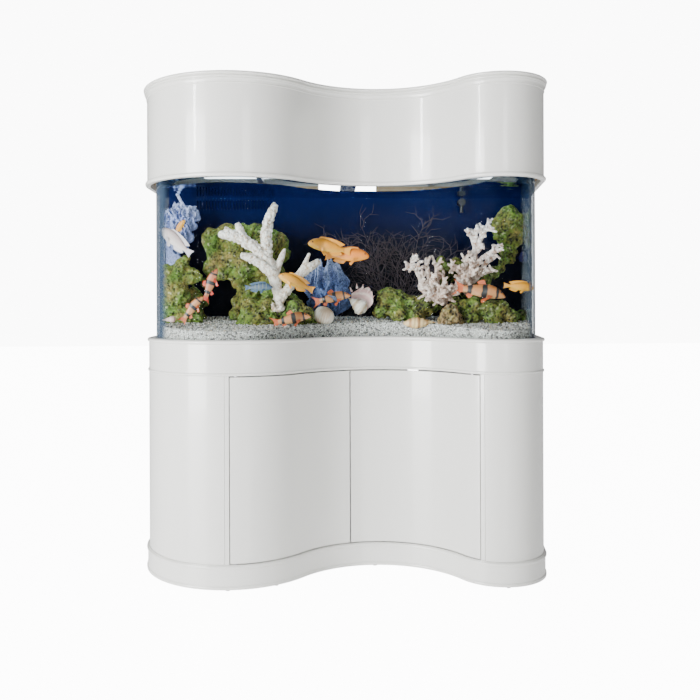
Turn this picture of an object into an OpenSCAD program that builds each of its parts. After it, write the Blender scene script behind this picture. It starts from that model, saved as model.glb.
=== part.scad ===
// Wave-front aquarium on a cabinet stand, with a lift-off canopy.
// Millimetres. +Z is up, the front faces -Y, and the origin is on the floor under the middle.

/* [Plan] */
// Width over the cabinet walls
wall_w = 1520; // [1300:1:1800]
// Depth over the cabinet walls, from the right lobe to the flat back
wall_d = 618; // [580:1:760]
// Radius of the large left lobe
left_lobe_r = 328; // [260:1:340]
// Radius of the small right lobe
right_lobe_r = 162; // [120:1:200]
// How far the hollow between the lobes lies behind the front
dip_depth = 252; // [180:1:290]
// How far the right lobe stands in front of the left one
lobe_step = 14; // [0:1:40]
// Lean of the right side, outwards towards the back, in degrees
right_lean = 8; // [0:0.5:8]

/* [Heights] */
// Height of the cabinet, up to the rim that the tank stands in
cabinet_h = 856; // [700:1:1000]
// Height of the plinth with its floor board
plinth_h = 87; // [70:1:130]
// Height of the fascia above the doors
fascia_h = 109; // [70:1:150]
// Height of the tank
tank_h = 610; // [450:1:700]
// Height of the canopy
canopy_h = 361; // [280:1:450]
// How far the tank reaches up into the canopy
canopy_lap = 23; // [15:1:40]
// How far the tank stands down inside the cabinet rim
tank_sink = 25; // [15:1:30]

/* [Boards] */
// Thickness of the bent end panels, the fascia and the plinth
panel_t = 18; // [12:1:22]
// Thickness of the doors
door_t = 16; // [14:1:17]
// Thickness of the upright dividers
divider_t = 18; // [15:1:25]
// Thickness of the floor board
floor_t = 15; // [9:1:18]
// Thickness of the deck under the tank
deck_t = 19; // [15:1:25]
// Thickness of the back panel
back_t = 12; // [6:1:16]
// Thickness of the foam mat under the tank
mat_t = 6; // [3:1:8]
// Thickness of the floor glides
glide_t = 4; // [2:1:8]

/* [Doors] */
// Turn from the front of the left lobe to the left door's hinge edge, in degrees
left_jamb_turn = 1; // [-10:0.5:15]
// Turn from the front of the right lobe to the right door's hinge edge, in degrees
right_jamb_turn = 38; // [20:0.5:42]
// Where the two doors meet
split_x = -4; // [-20:1:30]
// Gap round the doors and the lids
gap = 3; // [2.5:0.1:4]
// Distance from a hinge edge to its pivot
pivot_inset = 20; // [16:1:30]
// Radius of the door pivot pins
pivot_r = 4; // [2.5:0.5:5]
// Length of the door pivot pins
pivot_len = 14; // [8:1:20]
// Running clearance of every pin in its bore
running = 0.05; // [0.02:0.01:0.1]
// Width of the narrow stile beside each door
stile_w = 14; // [10:1:20]
// Depth of the stiles
stile_d = 30; // [22:1:40]
// Distance from the fascia down to the push latches
latch_drop = 86; // [30:1:300]
// Length of a push latch
latch_len = 40; // [30:1:60]
// Width and height of a push latch
latch_w = 16; // [14:1:24]
// Room between the closed doors and the divider behind them
post_clear = 10; // [6:1:20]
// Radius of a latch plunger
plunger_r = 4; // [3:0.5:6]
// Travel of a latch plunger
plunger_travel = 3; // [2:0.5:5]
// Width left round the windows in the side dividers
window_margin = 90; // [60:5:120]
// Radius of the cable ports in the back panel
port_r = 30; // [20:1:40]
// Distance from the middle to a cable port
port_x = 274; // [150:1:380]
// Distance from the deck down to the cable ports
port_drop = 90; // [60:1:300]

/* [Mouldings] */
// How far the canopy wall stands outside the cabinet wall
canopy_out = 5; // [3:1:12]
// How far the top rim stands outside the cabinet wall
rim_out = 17; // [12:1:26]
// Height of the top rim
rim_h = 42; // [24:1:60]
// How far the canopy's lower bead stands outside the cabinet wall
lower_bead_out = 12; // [8:1:16]
// Height of the canopy's lower bead
lower_bead_h = 18; // [10:1:26]
// Height of the cabinet rim
cap_h = 14; // [10:1:20]
// How far the cabinet rim stands outside the cabinet wall
cap_out = 6; // [4:1:10]
// Height of the bead above the doors
door_bead_h = 10; // [6:1:16]
// How far the bead above the doors stands out
door_bead_out = 4; // [2:1:8]
// How far the plinth stands outside the cabinet wall
plinth_out = 6; // [0:1:8]
// How far the plinth's beads stand outside the cabinet wall
plinth_bead_out = 10; // [9:1:14]

/* [Tank] */
// Distance from the cabinet wall in to the tank
tank_in = 27; // [24:1:40]
// Clearance between the cabinet rim and the tank
rim_clear = 2; // [1:0.5:4]
// Thickness of the tank's upright panels
acrylic_t = 12; // [8:1:16]
// Thickness of the tank's bottom
bottom_t = 15; // [12:1:20]
// Thickness of the brace on top of the tank
brace_t = 12; // [8:1:16]
// Width of the brace round its openings
brace_w = 60; // [40:1:90]
// Depth of the filter chamber behind the partition
chamber_d = 80; // [60:1:120]
// Thickness of the partition and the chamber's baffles
partition_t = 6; // [4:1:10]
// Depth of the gravel at the front
gravel_front = 34; // [20:1:60]
// Depth of the gravel at the partition
gravel_back = 80; // [60:1:110]
// Thickness of the sea fan
fan_t = 6; // [4:1:10]

/* [Canopy] */
// Thickness of the canopy wall
canopy_t = 12; // [9:1:18]
// Width of the notch at the back for hoses
notch_w = 240; // [120:10:400]
// Height of that notch
notch_h = 60; // [50:5:90]
// Thickness of the canopy's top and of its lids
top_t = 18; // [12:1:22]
// Width of the frame inside that rests on the tank
ledge_w = 38; // [30:1:50]
// Height of that frame
ledge_h = 20; // [15:1:30]
// Length of the lids
lid_l = 600; // [450:1:640]
// Width of the lids, front to back
lid_w = 235; // [180:1:250]
// Half the width of the bar between the lids
mid_bar = 20; // [20:1:40]
// Distance from the back to the lids' opening
lid_back = 60; // [45:1:80]
// Radius of the lid pins
lid_pin_r = 3; // [2:0.5:4]
// Length of a lid pin on each side of the gap
lid_pin_len = 12; // [8:1:16]
// Radius of the finger notch in a lid
notch_r = 20; // [14:1:26]

/* [Lights] */
// Length of a light
light_l = 1160; // [800:10:1200]
// Width of a light
light_w = 80; // [50:1:90]
// Height of a light's housing
light_h = 25; // [15:1:40]
// Thickness of a light's diffuser
diffuser_t = 3; // [2:0.5:5]
// Section of the bars that carry the lights
light_bar = 20; // [15:1:30]
// Distance from the middle to each of those bars
bar_x = 348; // [200:1:500]
// Distance of the front light's front edge behind the middle of the depth
front_light_y = -20; // [-40:1:0]
// Distance of the back light's front edge behind the middle of the depth
back_light_y = 120; // [80:1:160]
// Width of the housing's edge round a diffuser
diffuser_edge = 5; // [3:1:10]

/* [Filter] */
// Outer radius of the return pipe
pipe_r = 12; // [8:1:16]
// Wall of the return pipe
pipe_wall = 3; // [2:0.5:4]
// Distance from the middle to the return pipe
pipe_x = 456; // [380:1:520]
// Distance from the brace down to the return pipe's outlet
spout_drop = 45; // [35:1:80]
// How far the outlet stands out of the partition
spout_reach = 14; // [10:1:20]
// Length of the socket that turns on the outlet
socket_l = 36; // [34:1:50]
// Inner radius of the nozzle
nozzle_r = 5; // [3:0.5:6]
// Wall of the nozzle and of its socket
nozzle_wall = 2; // [1.5:0.5:3]
// Length of the nozzle below the outlet's axis
nozzle_drop = 42; // [30:1:60]
// Length of the pump
pump_l = 100; // [70:1:130]
// Depth of the pump
pump_w = 64; // [40:1:70]
// Height of the pump on its feet
pump_h = 120; // [80:1:160]
// Height of the pump's feet
pump_foot = 8; // [4:1:15]
// Radius of the heater's tube
heater_r = 14; // [10:1:16]
// Length of the heater's tube
heater_l = 300; // [200:1:350]
// Length of the heater's head
heater_head = 50; // [30:1:60]
// Height of the heater above the tank's bottom
heater_z = 60; // [30:1:100]
// Distance from the middle to the heater
heater_x = 91; // [30:1:200]
// Number of overflow slots in the partition
slots = 26; // [10:1:30]
// Width of an overflow slot
slot_w = 5; // [3:0.5:6]
// Distance from one overflow slot to the next
slot_pitch = 12; // [9:1:15]
// Height of an overflow slot
slot_h = 35; // [20:1:50]
// Distance from the brace down to the overflow slots
slot_drop = 35; // [25:1:60]
// Distance from the middle to the first overflow slot
slot_x = 608; // [500:1:640]
// Distance from the middle to the left baffle of the chamber
left_baffle_x = 152; // [100:1:180]
// Distance from the middle to the right baffle of the chamber
right_baffle_x = 304; // [220:1:360]
// Distance from the brace down to the baffles
baffle_drop = 60; // [30:1:100]
// Number of filter foam blocks
foam_blocks = 3; // [1:1:3]
// Width of a filter foam block
foam_w = 120; // [80:1:130]
// Distance from one foam block to the next
foam_pitch = 140; // [131:1:145]
// Distance from the middle to the first foam block
foam_x = 588; // [560:1:640]
// Distance from the brace down to the filter foam
foam_drop = 120; // [80:1:200]

/* [Hidden] */
$fn = 96;

far = 3000;
arc_step = 3;
clear = 0.3;
back_y = (wall_d + rim_out) / 2;
front_y = back_y - wall_d;

// Lobes and hollow of the plan: three arcs that meet without a corner
left_c = [-wall_w / 2 + left_lobe_r, front_y + lobe_step + left_lobe_r];
right_cy = front_y + right_lobe_r;
right_c = [wall_w / 2 - (back_y - right_cy) * tan(right_lean) - right_lobe_r / cos(right_lean), right_cy];
// The hollow's radius is the one that touches both lobes and reaches back by dip_depth
left_rise = dip_depth - lobe_step;
rise_l = pow(left_rise - left_lobe_r, 2) - left_lobe_r * left_lobe_r;
rise_r = pow(dip_depth - right_lobe_r, 2) - right_lobe_r * right_lobe_r;
lobe_span = right_c[0] - left_c[0];
quad_a = dip_depth - left_rise;
quad_b = 2 * lobe_span * left_rise;
quad_c = rise_l * dip_depth - (lobe_span * lobe_span + rise_r) * left_rise;
dip_x = -2 * quad_c / (quad_b + sqrt(quad_b * quad_b - 4 * quad_a * quad_c));
dip_r = (dip_x * dip_x + rise_l) / (2 * left_rise);
dip_c = [left_c[0] + dip_x, front_y + dip_depth - dip_r];
left_turn = angle(dip_c - left_c);
right_turn = angle(dip_c - right_c);

// Levels, from the floor up
floor_z = plinth_h;
fascia_z = cabinet_h - cap_h - fascia_h;
rim_z = cabinet_h - cap_h;
tank_z = cabinet_h - tank_sink;
deck_z = tank_z - mat_t - deck_t;
wall_z = tank_z + bottom_t;
brace_z = tank_z + tank_h - brace_t;
tank_top = tank_z + tank_h;
canopy_z = tank_top - canopy_lap;
top_z = canopy_z + canopy_h;
lid_z = top_z - top_t;

// Pivots of the doors, on the middle line of their thickness
mid_door = door_t / 2;
left_jamb_a = left_jamb_turn - 90;
right_jamb_a = -right_jamb_turn - 90;
left_pivot = left_c + (left_lobe_r - mid_door)
    * unit(left_jamb_a + asin((gap + pivot_inset) / (left_lobe_r - mid_door)));
right_pivot = right_c + (right_lobe_r - mid_door)
    * unit(right_jamb_a - asin((gap + pivot_inset) / (right_lobe_r - mid_door)));
split = [split_x, dip_c[1] + sqrt(dip_r * dip_r - (split_x - dip_c[0]) * (split_x - dip_c[0]))];
left_swing = norm(split - left_pivot) - gap / 2;
right_swing = norm(split - right_pivot) - gap / 2;
door_z0 = floor_z + gap;
door_z1 = fascia_z - gap - 1;
pivot_plate_r = mid_door - 1;
pivot_plate_t = 2;

// Chamber and lids
tank_inner_back = back_y - tank_in - acrylic_t;
partition_y = tank_inner_back - chamber_d;
lid_y1 = back_y - lid_back;
lid_pivot_y = lid_y1 - gap - pivot_inset;
lid_pivot_z = lid_z + top_t / 2;
ledge_z = tank_top;
light_z = ledge_z + ledge_h + light_bar;
chamber_y = partition_y + partition_t + (chamber_d - partition_t) / 2;
spout_z = brace_z - spout_drop;
spout_front = partition_y - spout_reach;

function unit(a) = [cos(a), sin(a)];
function angle(v) = atan2(v[1], v[0]);
function arc(c, r, a0, a1) =
    let (n = max(1, ceil(abs(a1 - a0) / arc_step)))
    [for (i = [0:n]) c + r * unit(a0 + (a1 - a0) * i / n)];
function right_side_x(off, y) = wall_w / 2 + off / cos(right_lean) - (back_y - y) * tan(right_lean);

// Plan outline, off millimetres outside the cabinet wall, with its flat back at the given y
function outline(off, back) = concat(
    [[left_c[0] - left_lobe_r - off, back]],
    arc(left_c, left_lobe_r + off, -180, left_turn),
    arc(dip_c, dip_r - off, 180 + left_turn, 180 + right_turn),
    arc(right_c, right_lobe_r + off, right_turn, -right_lean),
    [[right_side_x(off, back), back]]
);
function back_of(off) = back_y + min(off, 0);

module plan(off, back) {
    polygon(outline(off, back));
}

module slab(off, z0, z1) {
    translate([0, 0, z0]) linear_extrude(z1 - z0) plan(off, back_of(off));
}

// A closed band between two offsets, back_wall thick along its flat back
module ring(outer, inner, z0, z1, back, back_wall) {
    translate([0, 0, z0]) linear_extrude(z1 - z0) difference() {
        plan(outer, back);
        plan(inner, back - back_wall);
    }
}

// A band along the front and both sides, open at the back
module front_band(outer, inner, back) {
    difference() {
        plan(outer, back);
        plan(inner, back + 1);
    }
}

// Everything on the far side of a line through c at angle a: side -1 is to its left, 1 to its right
module half(c, a, side) {
    polygon([c, c + far * unit(a), [side * far, -far], [side * far, far], [c[0], far]]);
}

// A box given by its low and high corners
module box(low, high) {
    translate(low) cube(high - low);
}

// A round bar along Y, from a point backwards
module along_y(from, r, h) {
    translate(from) rotate([-90, 0, 0]) cylinder(r = r, h = h);
}

module bore(at, r, z0, z1) {
    translate([at[0], at[1], z0]) cylinder(r = r, h = z1 - z0);
}

// ---- Cabinet ----

// Angles of the glides under the lobes
left_glide_turns = [-170, -90, -60];
right_glide_turns = [-90, -20];

module glide(at) {
    bore(at, panel_t / 2 - 1, 0, glide_t);
}

module floor_glides() {
    inset = panel_t / 2 - plinth_out;
    back_reach = wall_w / 2 - 2 * panel_t;
    color("dimgray") {
        for (side = [-1, 1], reach = [back_reach / 3, back_reach])
            glide([side * reach, back_y - panel_t / 2]);
        for (a = left_glide_turns) glide(left_c + (left_lobe_r - inset) * unit(a));
        for (a = right_glide_turns) glide(right_c + (right_lobe_r - inset) * unit(a));
        glide(dip_c + (dip_r + inset) * unit(90));
    }
}

module plinth_skirt() {
    color("white") ring(plinth_out, plinth_out - panel_t, glide_t, floor_z - floor_t, back_y, panel_t);
}

module bead(outer, inner, z0, z1) {
    color("white") translate([0, 0, z0]) linear_extrude(z1 - z0) difference() {
        plan(outer, back_y);
        plan(inner, back_y + 1);
    }
}

module plinth_lower_bead() {
    bead(plinth_bead_out, plinth_out, glide_t, glide_t + floor_t);
}

module plinth_upper_bead() {
    bead(plinth_bead_out, 0, floor_z - floor_t, floor_z);
}

module floor_board() {
    color("white") slab(0, floor_z - floor_t, floor_z);
}

module end_panel(c, a, side) {
    color("white") translate([0, 0, floor_z]) linear_extrude(fascia_z - floor_z) intersection() {
        front_band(0, -panel_t, back_y);
        half(c, a, side);
    }
}

// Angles where the stiles end and the end panels begin
stile_joint = 1;
left_stile_a = left_jamb_a - asin(stile_w / left_lobe_r);
right_stile_a = right_jamb_a + asin(stile_w / right_lobe_r);
left_panel_a = left_jamb_a - asin((stile_w + stile_joint) / left_lobe_r);
right_panel_a = right_jamb_a + asin((stile_w + stile_joint) / right_lobe_r);

module left_end_panel() {
    end_panel(left_c, left_panel_a, -1);
}

module right_end_panel() {
    end_panel(right_c, right_panel_a, 1);
}

module back_panel() {
    color("white") difference() {
        translate([0, 0, floor_z]) linear_extrude(rim_z - floor_z) intersection() {
            plan(-panel_t, back_y);
            translate([-far, back_y - back_t]) square([2 * far, back_t]);
        }
        for (p = port_places()) translate([p[0], back_y - back_t - 1, p[1]]) rotate([-90, 0, 0])
            cylinder(r = port_r, h = back_t + 2);
    }
}
function port_places() = [for (s = [-1, 1]) [s * port_x, deck_z - port_drop]];

// A strip of the wall beside the hinge edge, deeper than the end panel
module stile(c, jamb_a, stile_a, side) {
    color("white") translate([0, 0, floor_z]) linear_extrude(fascia_z - floor_z) intersection() {
        front_band(0, -stile_d, back_y);
        half(c, jamb_a, side);
        half(c, stile_a, -side);
    }
}

module left_stile() {
    stile(left_c, left_jamb_a, left_stile_a, -1);
}

module right_stile() {
    stile(right_c, right_jamb_a, right_stile_a, 1);
}

left_divider_x = left_c[0] + left_lobe_r * cos(left_stile_a) - clear;
right_divider_x = right_c[0] + (right_lobe_r - stile_d) * cos(right_stile_a) + clear;

module divider(x, front) {
    translate([0, 0, floor_z]) linear_extrude(deck_z - floor_z) intersection() {
        plan(-panel_t, back_y - back_t);
        translate([x, front]) square([divider_t, far]);
    }
}

// A side divider, with a window through to the bay behind the end panel
module side_divider(x) {
    color("white") difference() {
        divider(x, -far / 2);
        box([x - 1, front_y + window_margin * 2, floor_z + window_margin],
            [x + divider_t + 1, back_y - window_margin, deck_z - window_margin]);
    }
}

module left_divider() {
    side_divider(left_divider_x - divider_t);
}

module right_divider() {
    side_divider(right_divider_x);
}

post_y = split[1] + door_t + post_clear;

module centre_divider() {
    color("white") divider(split_x - divider_t / 2, post_y);
}

module fascia() {
    color("white") translate([0, 0, fascia_z]) linear_extrude(rim_z - fascia_z)
        front_band(0, -panel_t, back_y);
}

module door_top_bead() {
    bead(door_bead_out, 0, fascia_z, fascia_z + door_bead_h);
}

module deck() {
    color("burlywood") translate([0, 0, deck_z]) linear_extrude(deck_t)
        plan(-panel_t, back_y - back_t);
}

module cabinet_rim() {
    color("white") ring(cap_out, rim_clear - tank_in, rim_z, cabinet_h, back_y, tank_in - rim_clear);
}

// ---- Doors ----

module pivots(at) {
    color("silver") {
        bore(at, pivot_plate_r, floor_z, floor_z + pivot_plate_t);
        bore(at, pivot_r, floor_z, floor_z + pivot_plate_t + pivot_len);
        bore(at, pivot_plate_r, fascia_z - pivot_plate_t, fascia_z);
        bore(at, pivot_r, fascia_z - pivot_plate_t - pivot_len, fascia_z);
    }
}

module left_door_pivots() {
    pivots(left_pivot);
}

module right_door_pivots() {
    pivots(right_pivot);
}

// A door: the wall band from its hinge edge to a meeting edge that is an arc about its own pivot
module door(at, swing, edge_c, edge_a, side) {
    bore_end = pivot_plate_t + pivot_len + 1;
    color("white") difference() {
        translate([0, 0, door_z0]) linear_extrude(door_z1 - door_z0) intersection() {
            front_band(0, -door_t, back_y);
            translate(at) circle(r = swing, $fn = 180);
            translate(gap * side * [-sin(edge_a), cos(edge_a)]) half(edge_c, edge_a, side);
        }
        bore(at, pivot_r + running, door_z0 - 1, floor_z + bore_end);
        bore(at, pivot_r + running, fascia_z - bore_end, door_z1 + 1);
    }
}

module left_door() {
    door(left_pivot, left_swing, left_c, left_jamb_a, 1);
}

module right_door() {
    door(right_pivot, right_swing, right_c, right_jamb_a, -1);
}

// ---- Push latches, on the centre divider ----

latch_axis_z = fascia_z - latch_drop;
latch_front = post_y - 2;
plunger_gap = 0.5;
latch_end = 3;
function latch_x(side) = split_x + side * (divider_t / 2 + latch_w / 2);
function door_inner_y(x) = dip_c[1]
    + sqrt((dip_r + door_t) * (dip_r + door_t) - (x - dip_c[0]) * (x - dip_c[0]));

module latch_bodies() {
    color("whitesmoke") for (s = [-1, 1]) difference() {
        box([latch_x(s) - latch_w / 2, latch_front, latch_axis_z - latch_w / 2],
            [latch_x(s) + latch_w / 2, latch_front + latch_len, latch_axis_z + latch_w / 2]);
        translate([latch_x(s), latch_front - 1, latch_axis_z]) rotate([-90, 0, 0])
            cylinder(r = plunger_r + running, h = latch_len - latch_end);
    }
}

// The plunger's nose stands just off the closed door
module latch_plunger(side) {
    nose = plunger_gap
        + max(door_inner_y(latch_x(side) - plunger_r), door_inner_y(latch_x(side) + plunger_r));
    bore_end = latch_front + latch_len - latch_end - 1;
    color("gray") translate([latch_x(side), nose, latch_axis_z]) rotate([-90, 0, 0])
        cylinder(r = plunger_r, h = bore_end - plunger_travel - 1 - nose);
}

module left_latch_plunger() {
    latch_plunger(-1);
}

module right_latch_plunger() {
    latch_plunger(1);
}

// ---- Tank ----

module foam_mat() {
    color("dimgray") slab(-tank_in, tank_z - mat_t, tank_z);
}

module tank_bottom() {
    color("lightblue") slab(-tank_in, tank_z, wall_z);
}

module tank_front_wrap() {
    color("lightblue", 0.4) translate([0, 0, wall_z]) linear_extrude(brace_z - wall_z)
        front_band(-tank_in, -tank_in - acrylic_t, tank_inner_back);
}

module tank_back() {
    color("lightblue", 0.4) translate([0, 0, wall_z]) linear_extrude(brace_z - wall_z) intersection() {
        plan(-tank_in, back_y - tank_in);
        translate([-far, tank_inner_back]) square([2 * far, acrylic_t]);
    }
}

module tank_brace() {
    inner = -tank_in - brace_w;
    color("lightblue", 0.4) translate([0, 0, brace_z]) linear_extrude(brace_t) difference() {
        plan(-tank_in, back_y - tank_in);
        difference() {
            plan(inner, tank_inner_back - 10);
            translate([split_x - brace_w / 2, -far]) square([brace_w, 2 * far]);
        }
    }
}

// The plan of the water space, a hair inside the tank's panels
module inside(back) {
    plan(-tank_in - acrylic_t - clear, back);
}

module blue_partition() {
    slots_top = brace_z - slot_drop;
    color("midnightblue") difference() {
        translate([0, 0, wall_z]) linear_extrude(brace_z - clear - wall_z) intersection() {
            inside(back_y);
            translate([-far, partition_y]) square([2 * far, partition_t]);
        }
        for (i = [0:slots - 1]) translate([-slot_x + i * slot_pitch, 0, 0])
            box([0, partition_y - 1, slots_top - slot_h],
                [slot_w, partition_y + partition_t + 1, slots_top]);
        along_y([pipe_x, partition_y - 1, spout_z], pipe_r + clear, partition_t + 2);
    }
}

module chamber_baffles() {
    color("midnightblue") for (x = [-left_baffle_x, right_baffle_x])
        box([x, partition_y + partition_t + clear, wall_z],
            [x + partition_t, tank_inner_back - clear, brace_z - baffle_drop]);
}

foam_clear = 2;

module filter_foam() {
    color("dimgray") for (i = [0:foam_blocks - 1]) translate([-foam_x + i * foam_pitch, 0, 0])
        box([0, partition_y + partition_t + foam_clear, wall_z],
            [foam_w, tank_inner_back - foam_clear, brace_z - foam_drop]);
}

heater_collar = 3;

module heater() {
    at = [heater_x, chamber_y];
    top = wall_z + heater_z + heater_l;
    color("black") {
        bore(at, heater_r, wall_z + heater_z, top);
        bore(at, heater_r + heater_collar, top, top + heater_head);
    }
}

foot_l = 15;
foot_inset = 10;

module return_pump() {
    at = [pipe_x - pump_l / 2, chamber_y, wall_z];
    color("black") translate(at) {
        box([-pump_l / 2, -pump_w / 2, pump_foot], [pump_l / 2 + 2 * pipe_r, pump_w / 2, pump_h]);
        for (x = [foot_inset - pump_l / 2, pump_l / 2 - foot_inset - foot_l])
            box([x, foot_inset - pump_w / 2, 0], [x + foot_l, pump_w / 2 - foot_inset, pump_foot]);
    }
}

module return_pipe() {
    bend = [pipe_x, chamber_y, spout_z];
    color("black") difference() {
        union() {
            bore(bend, pipe_r, wall_z + pump_h, spout_z);
            translate(bend) sphere(r = pipe_r);
            along_y([pipe_x, spout_front, spout_z], pipe_r, chamber_y - spout_front);
        }
        bore(bend, pipe_r - pipe_wall, wall_z + pump_h - 1, spout_z);
        along_y([pipe_x, spout_front - 1, spout_z], pipe_r - pipe_wall, chamber_y - spout_front + 1);
    }
}

// A nozzle that turns on the end of the pipe, about the pipe's axis
module return_spout() {
    socket_r = pipe_r + running;
    lap = socket_l / 3;
    front = spout_front + lap - socket_l;
    bend = [pipe_x, spout_front - lap];
    color("black") difference() {
        union() {
            along_y([pipe_x, front, spout_z], socket_r + nozzle_wall + 1, socket_l);
            bore(bend, nozzle_r + nozzle_wall, spout_z - nozzle_drop, spout_z - 3);
        }
        along_y([pipe_x, spout_front - 0.5, spout_z], socket_r, lap + 1);
        along_y([pipe_x, front + 3, spout_z], pipe_r - pipe_wall, socket_l - lap);
        bore(bend, nozzle_r, spout_z - nozzle_drop - 1, spout_z - 2);
    }
}

// ---- Decoration, as plain solids that stand on the gravel ----

// A place in the tank, as percentages of the plan's width and depth and of the tank's height
function spot(p) = [p[0] * wall_w / 100, p[1] * wall_d / 100, wall_z + p[2] * tank_h / 100];

function upright(p) = [p[0], p[2]];

// The bed and everything under it: its top climbs towards the back
module under_gravel() {
    translate([-far / 2, 0, 0]) rotate([90, 0, 90]) linear_extrude(far) polygon([
        [front_y, wall_z], [partition_y + 1, wall_z],
        [partition_y + 1, wall_z + gravel_back], [front_y, wall_z + gravel_front]
    ]);
}

// What stands in the water: kept off the tank's panels and cut to the top of the gravel
module in_water() {
    difference() {
        intersection() {
            children();
            translate([0, 0, wall_z]) linear_extrude(brace_z - wall_z)
                plan(-tank_in - acrylic_t - 2, partition_y - 2);
        }
        under_gravel();
    }
}

// A rock as the hull of balls; each is a place and a radius in percent of the plan's depth
module rock(balls) {
    hull() for (b = balls) translate(spot(b)) sphere(r = b[3] * wall_d / 100, $fn = 14);
}

// A straight round limb between two places
module limb(p, q, r) {
    low = spot(p);
    d = spot(q) - low;
    translate(low) rotate([0, acos(d[2] / norm(d)), atan2(d[1], d[0])])
        cylinder(r = r * wall_d / 100, h = norm(d), $fn = 16);
}

module gravel_bed() {
    color("gainsboro") intersection() {
        translate([0, 0, wall_z]) linear_extrude(gravel_back) inside(partition_y - clear);
        under_gravel();
    }
}

module left_rocks() {
    rock([[-43, 3, 15, 10], [-42, 10, 28, 9], [-41, 11, 41, 7.5], [-39, -3, 14, 7]]);
}

module middle_rocks() {
    rock([[-22, -5, 12, 7.5], [-15, -4, 12, 7], [-19, -5, 22, 5.5]]);
}

module right_rocks() {
    rock([[10, 12, 17, 8], [19, 12, 18, 9]]);
    rock([[29, -3, 14, 8], [39, -2, 14, 8], [34, -3, 19, 7]]);
    rock([[23.5, -11, 10, 5.5], [24, -11, 17, 4]]);
}

module left_rockwork() {
    color("olivedrab") in_water() left_rocks();
}

// Two legs and the mass they carry, with the cave between them
module arch_rockwork() {
    color("olivedrab") in_water() {
        rock([[-34, 20, 50, 9], [-29, 18, 58, 12], [-21, 18, 60, 11], [-20, 17, 45, 9]]);
        rock([[-34, 20, 50, 9], [-36, 22, 12, 6]]);
        rock([[-27, 15, 40, 8], [-28, 14, 9, 7], [-20, 16, 14, 9], [-20, 17, 45, 9]]);
    }
}

module middle_rockwork() {
    color("olivedrab") in_water() middle_rocks();
}

module right_rockwork() {
    color("olivedrab") in_water() right_rocks();
}

module right_peak() {
    color("olivedrab") in_water()
        rock([[41.5, 21, 74, 8], [39, 21, 58, 7], [41, 19, 47, 6], [40, 24, 12, 5]]);
}

module antler_coral() {
    color("ivory") in_water() difference() {
        union() {
            limb([-18, -5, 22], [-19.5, -5, 50], 2.6);
            limb([-19.4, -5, 49], [-18.4, -5, 84], 2.4);
            limb([-19.4, -5, 47], [-31, -6, 65], 2.4);
            limb([-19, -5, 40], [-27, -7, 53], 2.2);
            limb([-18.5, -5, 36], [-16, -5, 56], 2);
            limb([-18, -5, 28], [-9, -6, 48], 2.4);
        }
        middle_rocks();
    }
}

module left_coral() {
    color("lightsteelblue") in_water() {
        rock([[-43.5, 16, 66, 6], [-42, 17, 80, 6], [-45, 16, 74, 4]]);
        limb([-42, 26, 10], [-43, 18, 66], 2.5);
    }
}

module middle_coral() {
    color("lightsteelblue") in_water() rock([[-8, 18, 16, 5], [-4, 18, 16, 5], [-6, 18, 44, 8]]);
}

module right_coral() {
    color("ivory") in_water() difference() {
        union() {
            rock([[18, -1, 38, 8], [26, -1, 36, 8]]);
            rock([[26, -1, 36, 8], [32, 1, 50, 8], [33, 3, 67, 6]]);
            limb([24, -3, 12], [25, -1, 34], 4);
        }
        right_rocks();
    }
}

module sea_fan() {
    y = 27;
    edge = [
        [8, 4], [9, 4], [9.3, 30], [15, 32], [22, 48], [22, 75], [16, 88],
        [8, 90], [0, 80], [-2, 60], [2, 38], [8, 30]
    ];
    color("darkslategray") in_water() translate([0, spot([0, y, 0])[1] + fan_t, 0]) rotate([90, 0, 0])
        linear_extrude(fan_t) polygon([for (p = edge) upright(spot([p[0], y, p[1]]))]);
}

module shells() {
    color("wheat") in_water() {
        rock([[-6.4, -1.5, 12, 5]]);
        rock([[3, 4, 14, 5], [5, 6, 18, 5]]);
        rock([[15.5, -3, 9, 3], [17.5, -3, 9, 2]]);
        rock([[-41, -14, 7.5, 2.5], [-39.5, -15, 7.5, 2]]);
    }
}

// ---- Canopy ----

canopy_inner = canopy_out - canopy_t;

// The opening at the back for hoses, through the wall and the frame inside it
module hose_notch() {
    box([-notch_w / 2, back_y - canopy_t - ledge_w - 1, canopy_z - 1],
        [notch_w / 2, back_y + 1, canopy_z + notch_h]);
}

module canopy_wall() {
    color("white") difference() {
        ring(canopy_out, canopy_inner, canopy_z, top_z, back_y, canopy_t);
        hose_notch();
    }
}

module canopy_lower_bead() {
    bead(lower_bead_out, canopy_out, canopy_z, canopy_z + lower_bead_h);
}

// Three steps, each a little further out than the one below
module canopy_rim() {
    steps = 3;
    for (i = [0:steps - 1])
        bead(canopy_out + (rim_out - canopy_out) * (i + 1) / steps, canopy_out,
            top_z - rim_h * (steps - i) / steps, top_z - rim_h * (steps - 1 - i) / steps);
}

function lid_x0(side) = side > 0 ? mid_bar : -mid_bar - lid_l;

module canopy_top() {
    color("white") difference() {
        translate([0, 0, lid_z]) linear_extrude(top_t) difference() {
            plan(canopy_inner, back_y - canopy_t);
            for (s = [-1, 1]) translate([lid_x0(s), lid_y1 - lid_w]) square([lid_l, lid_w]);
        }
        for (s = [-1, 1]) translate([lid_x0(s), lid_pivot_y, lid_pivot_z]) rotate([0, 90, 0]) {
            translate([0, 0, -lid_pin_len - 1]) cylinder(r = lid_pin_r + running, h = lid_pin_len + 2);
            translate([0, 0, lid_l - 1]) cylinder(r = lid_pin_r + running, h = lid_pin_len + 2);
        }
    }
}

module canopy_ledge() {
    color("burlywood") difference() {
        ring(canopy_inner, canopy_inner - ledge_w, ledge_z, ledge_z + ledge_h, back_y - canopy_t, ledge_w);
        hose_notch();
    }
}

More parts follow.
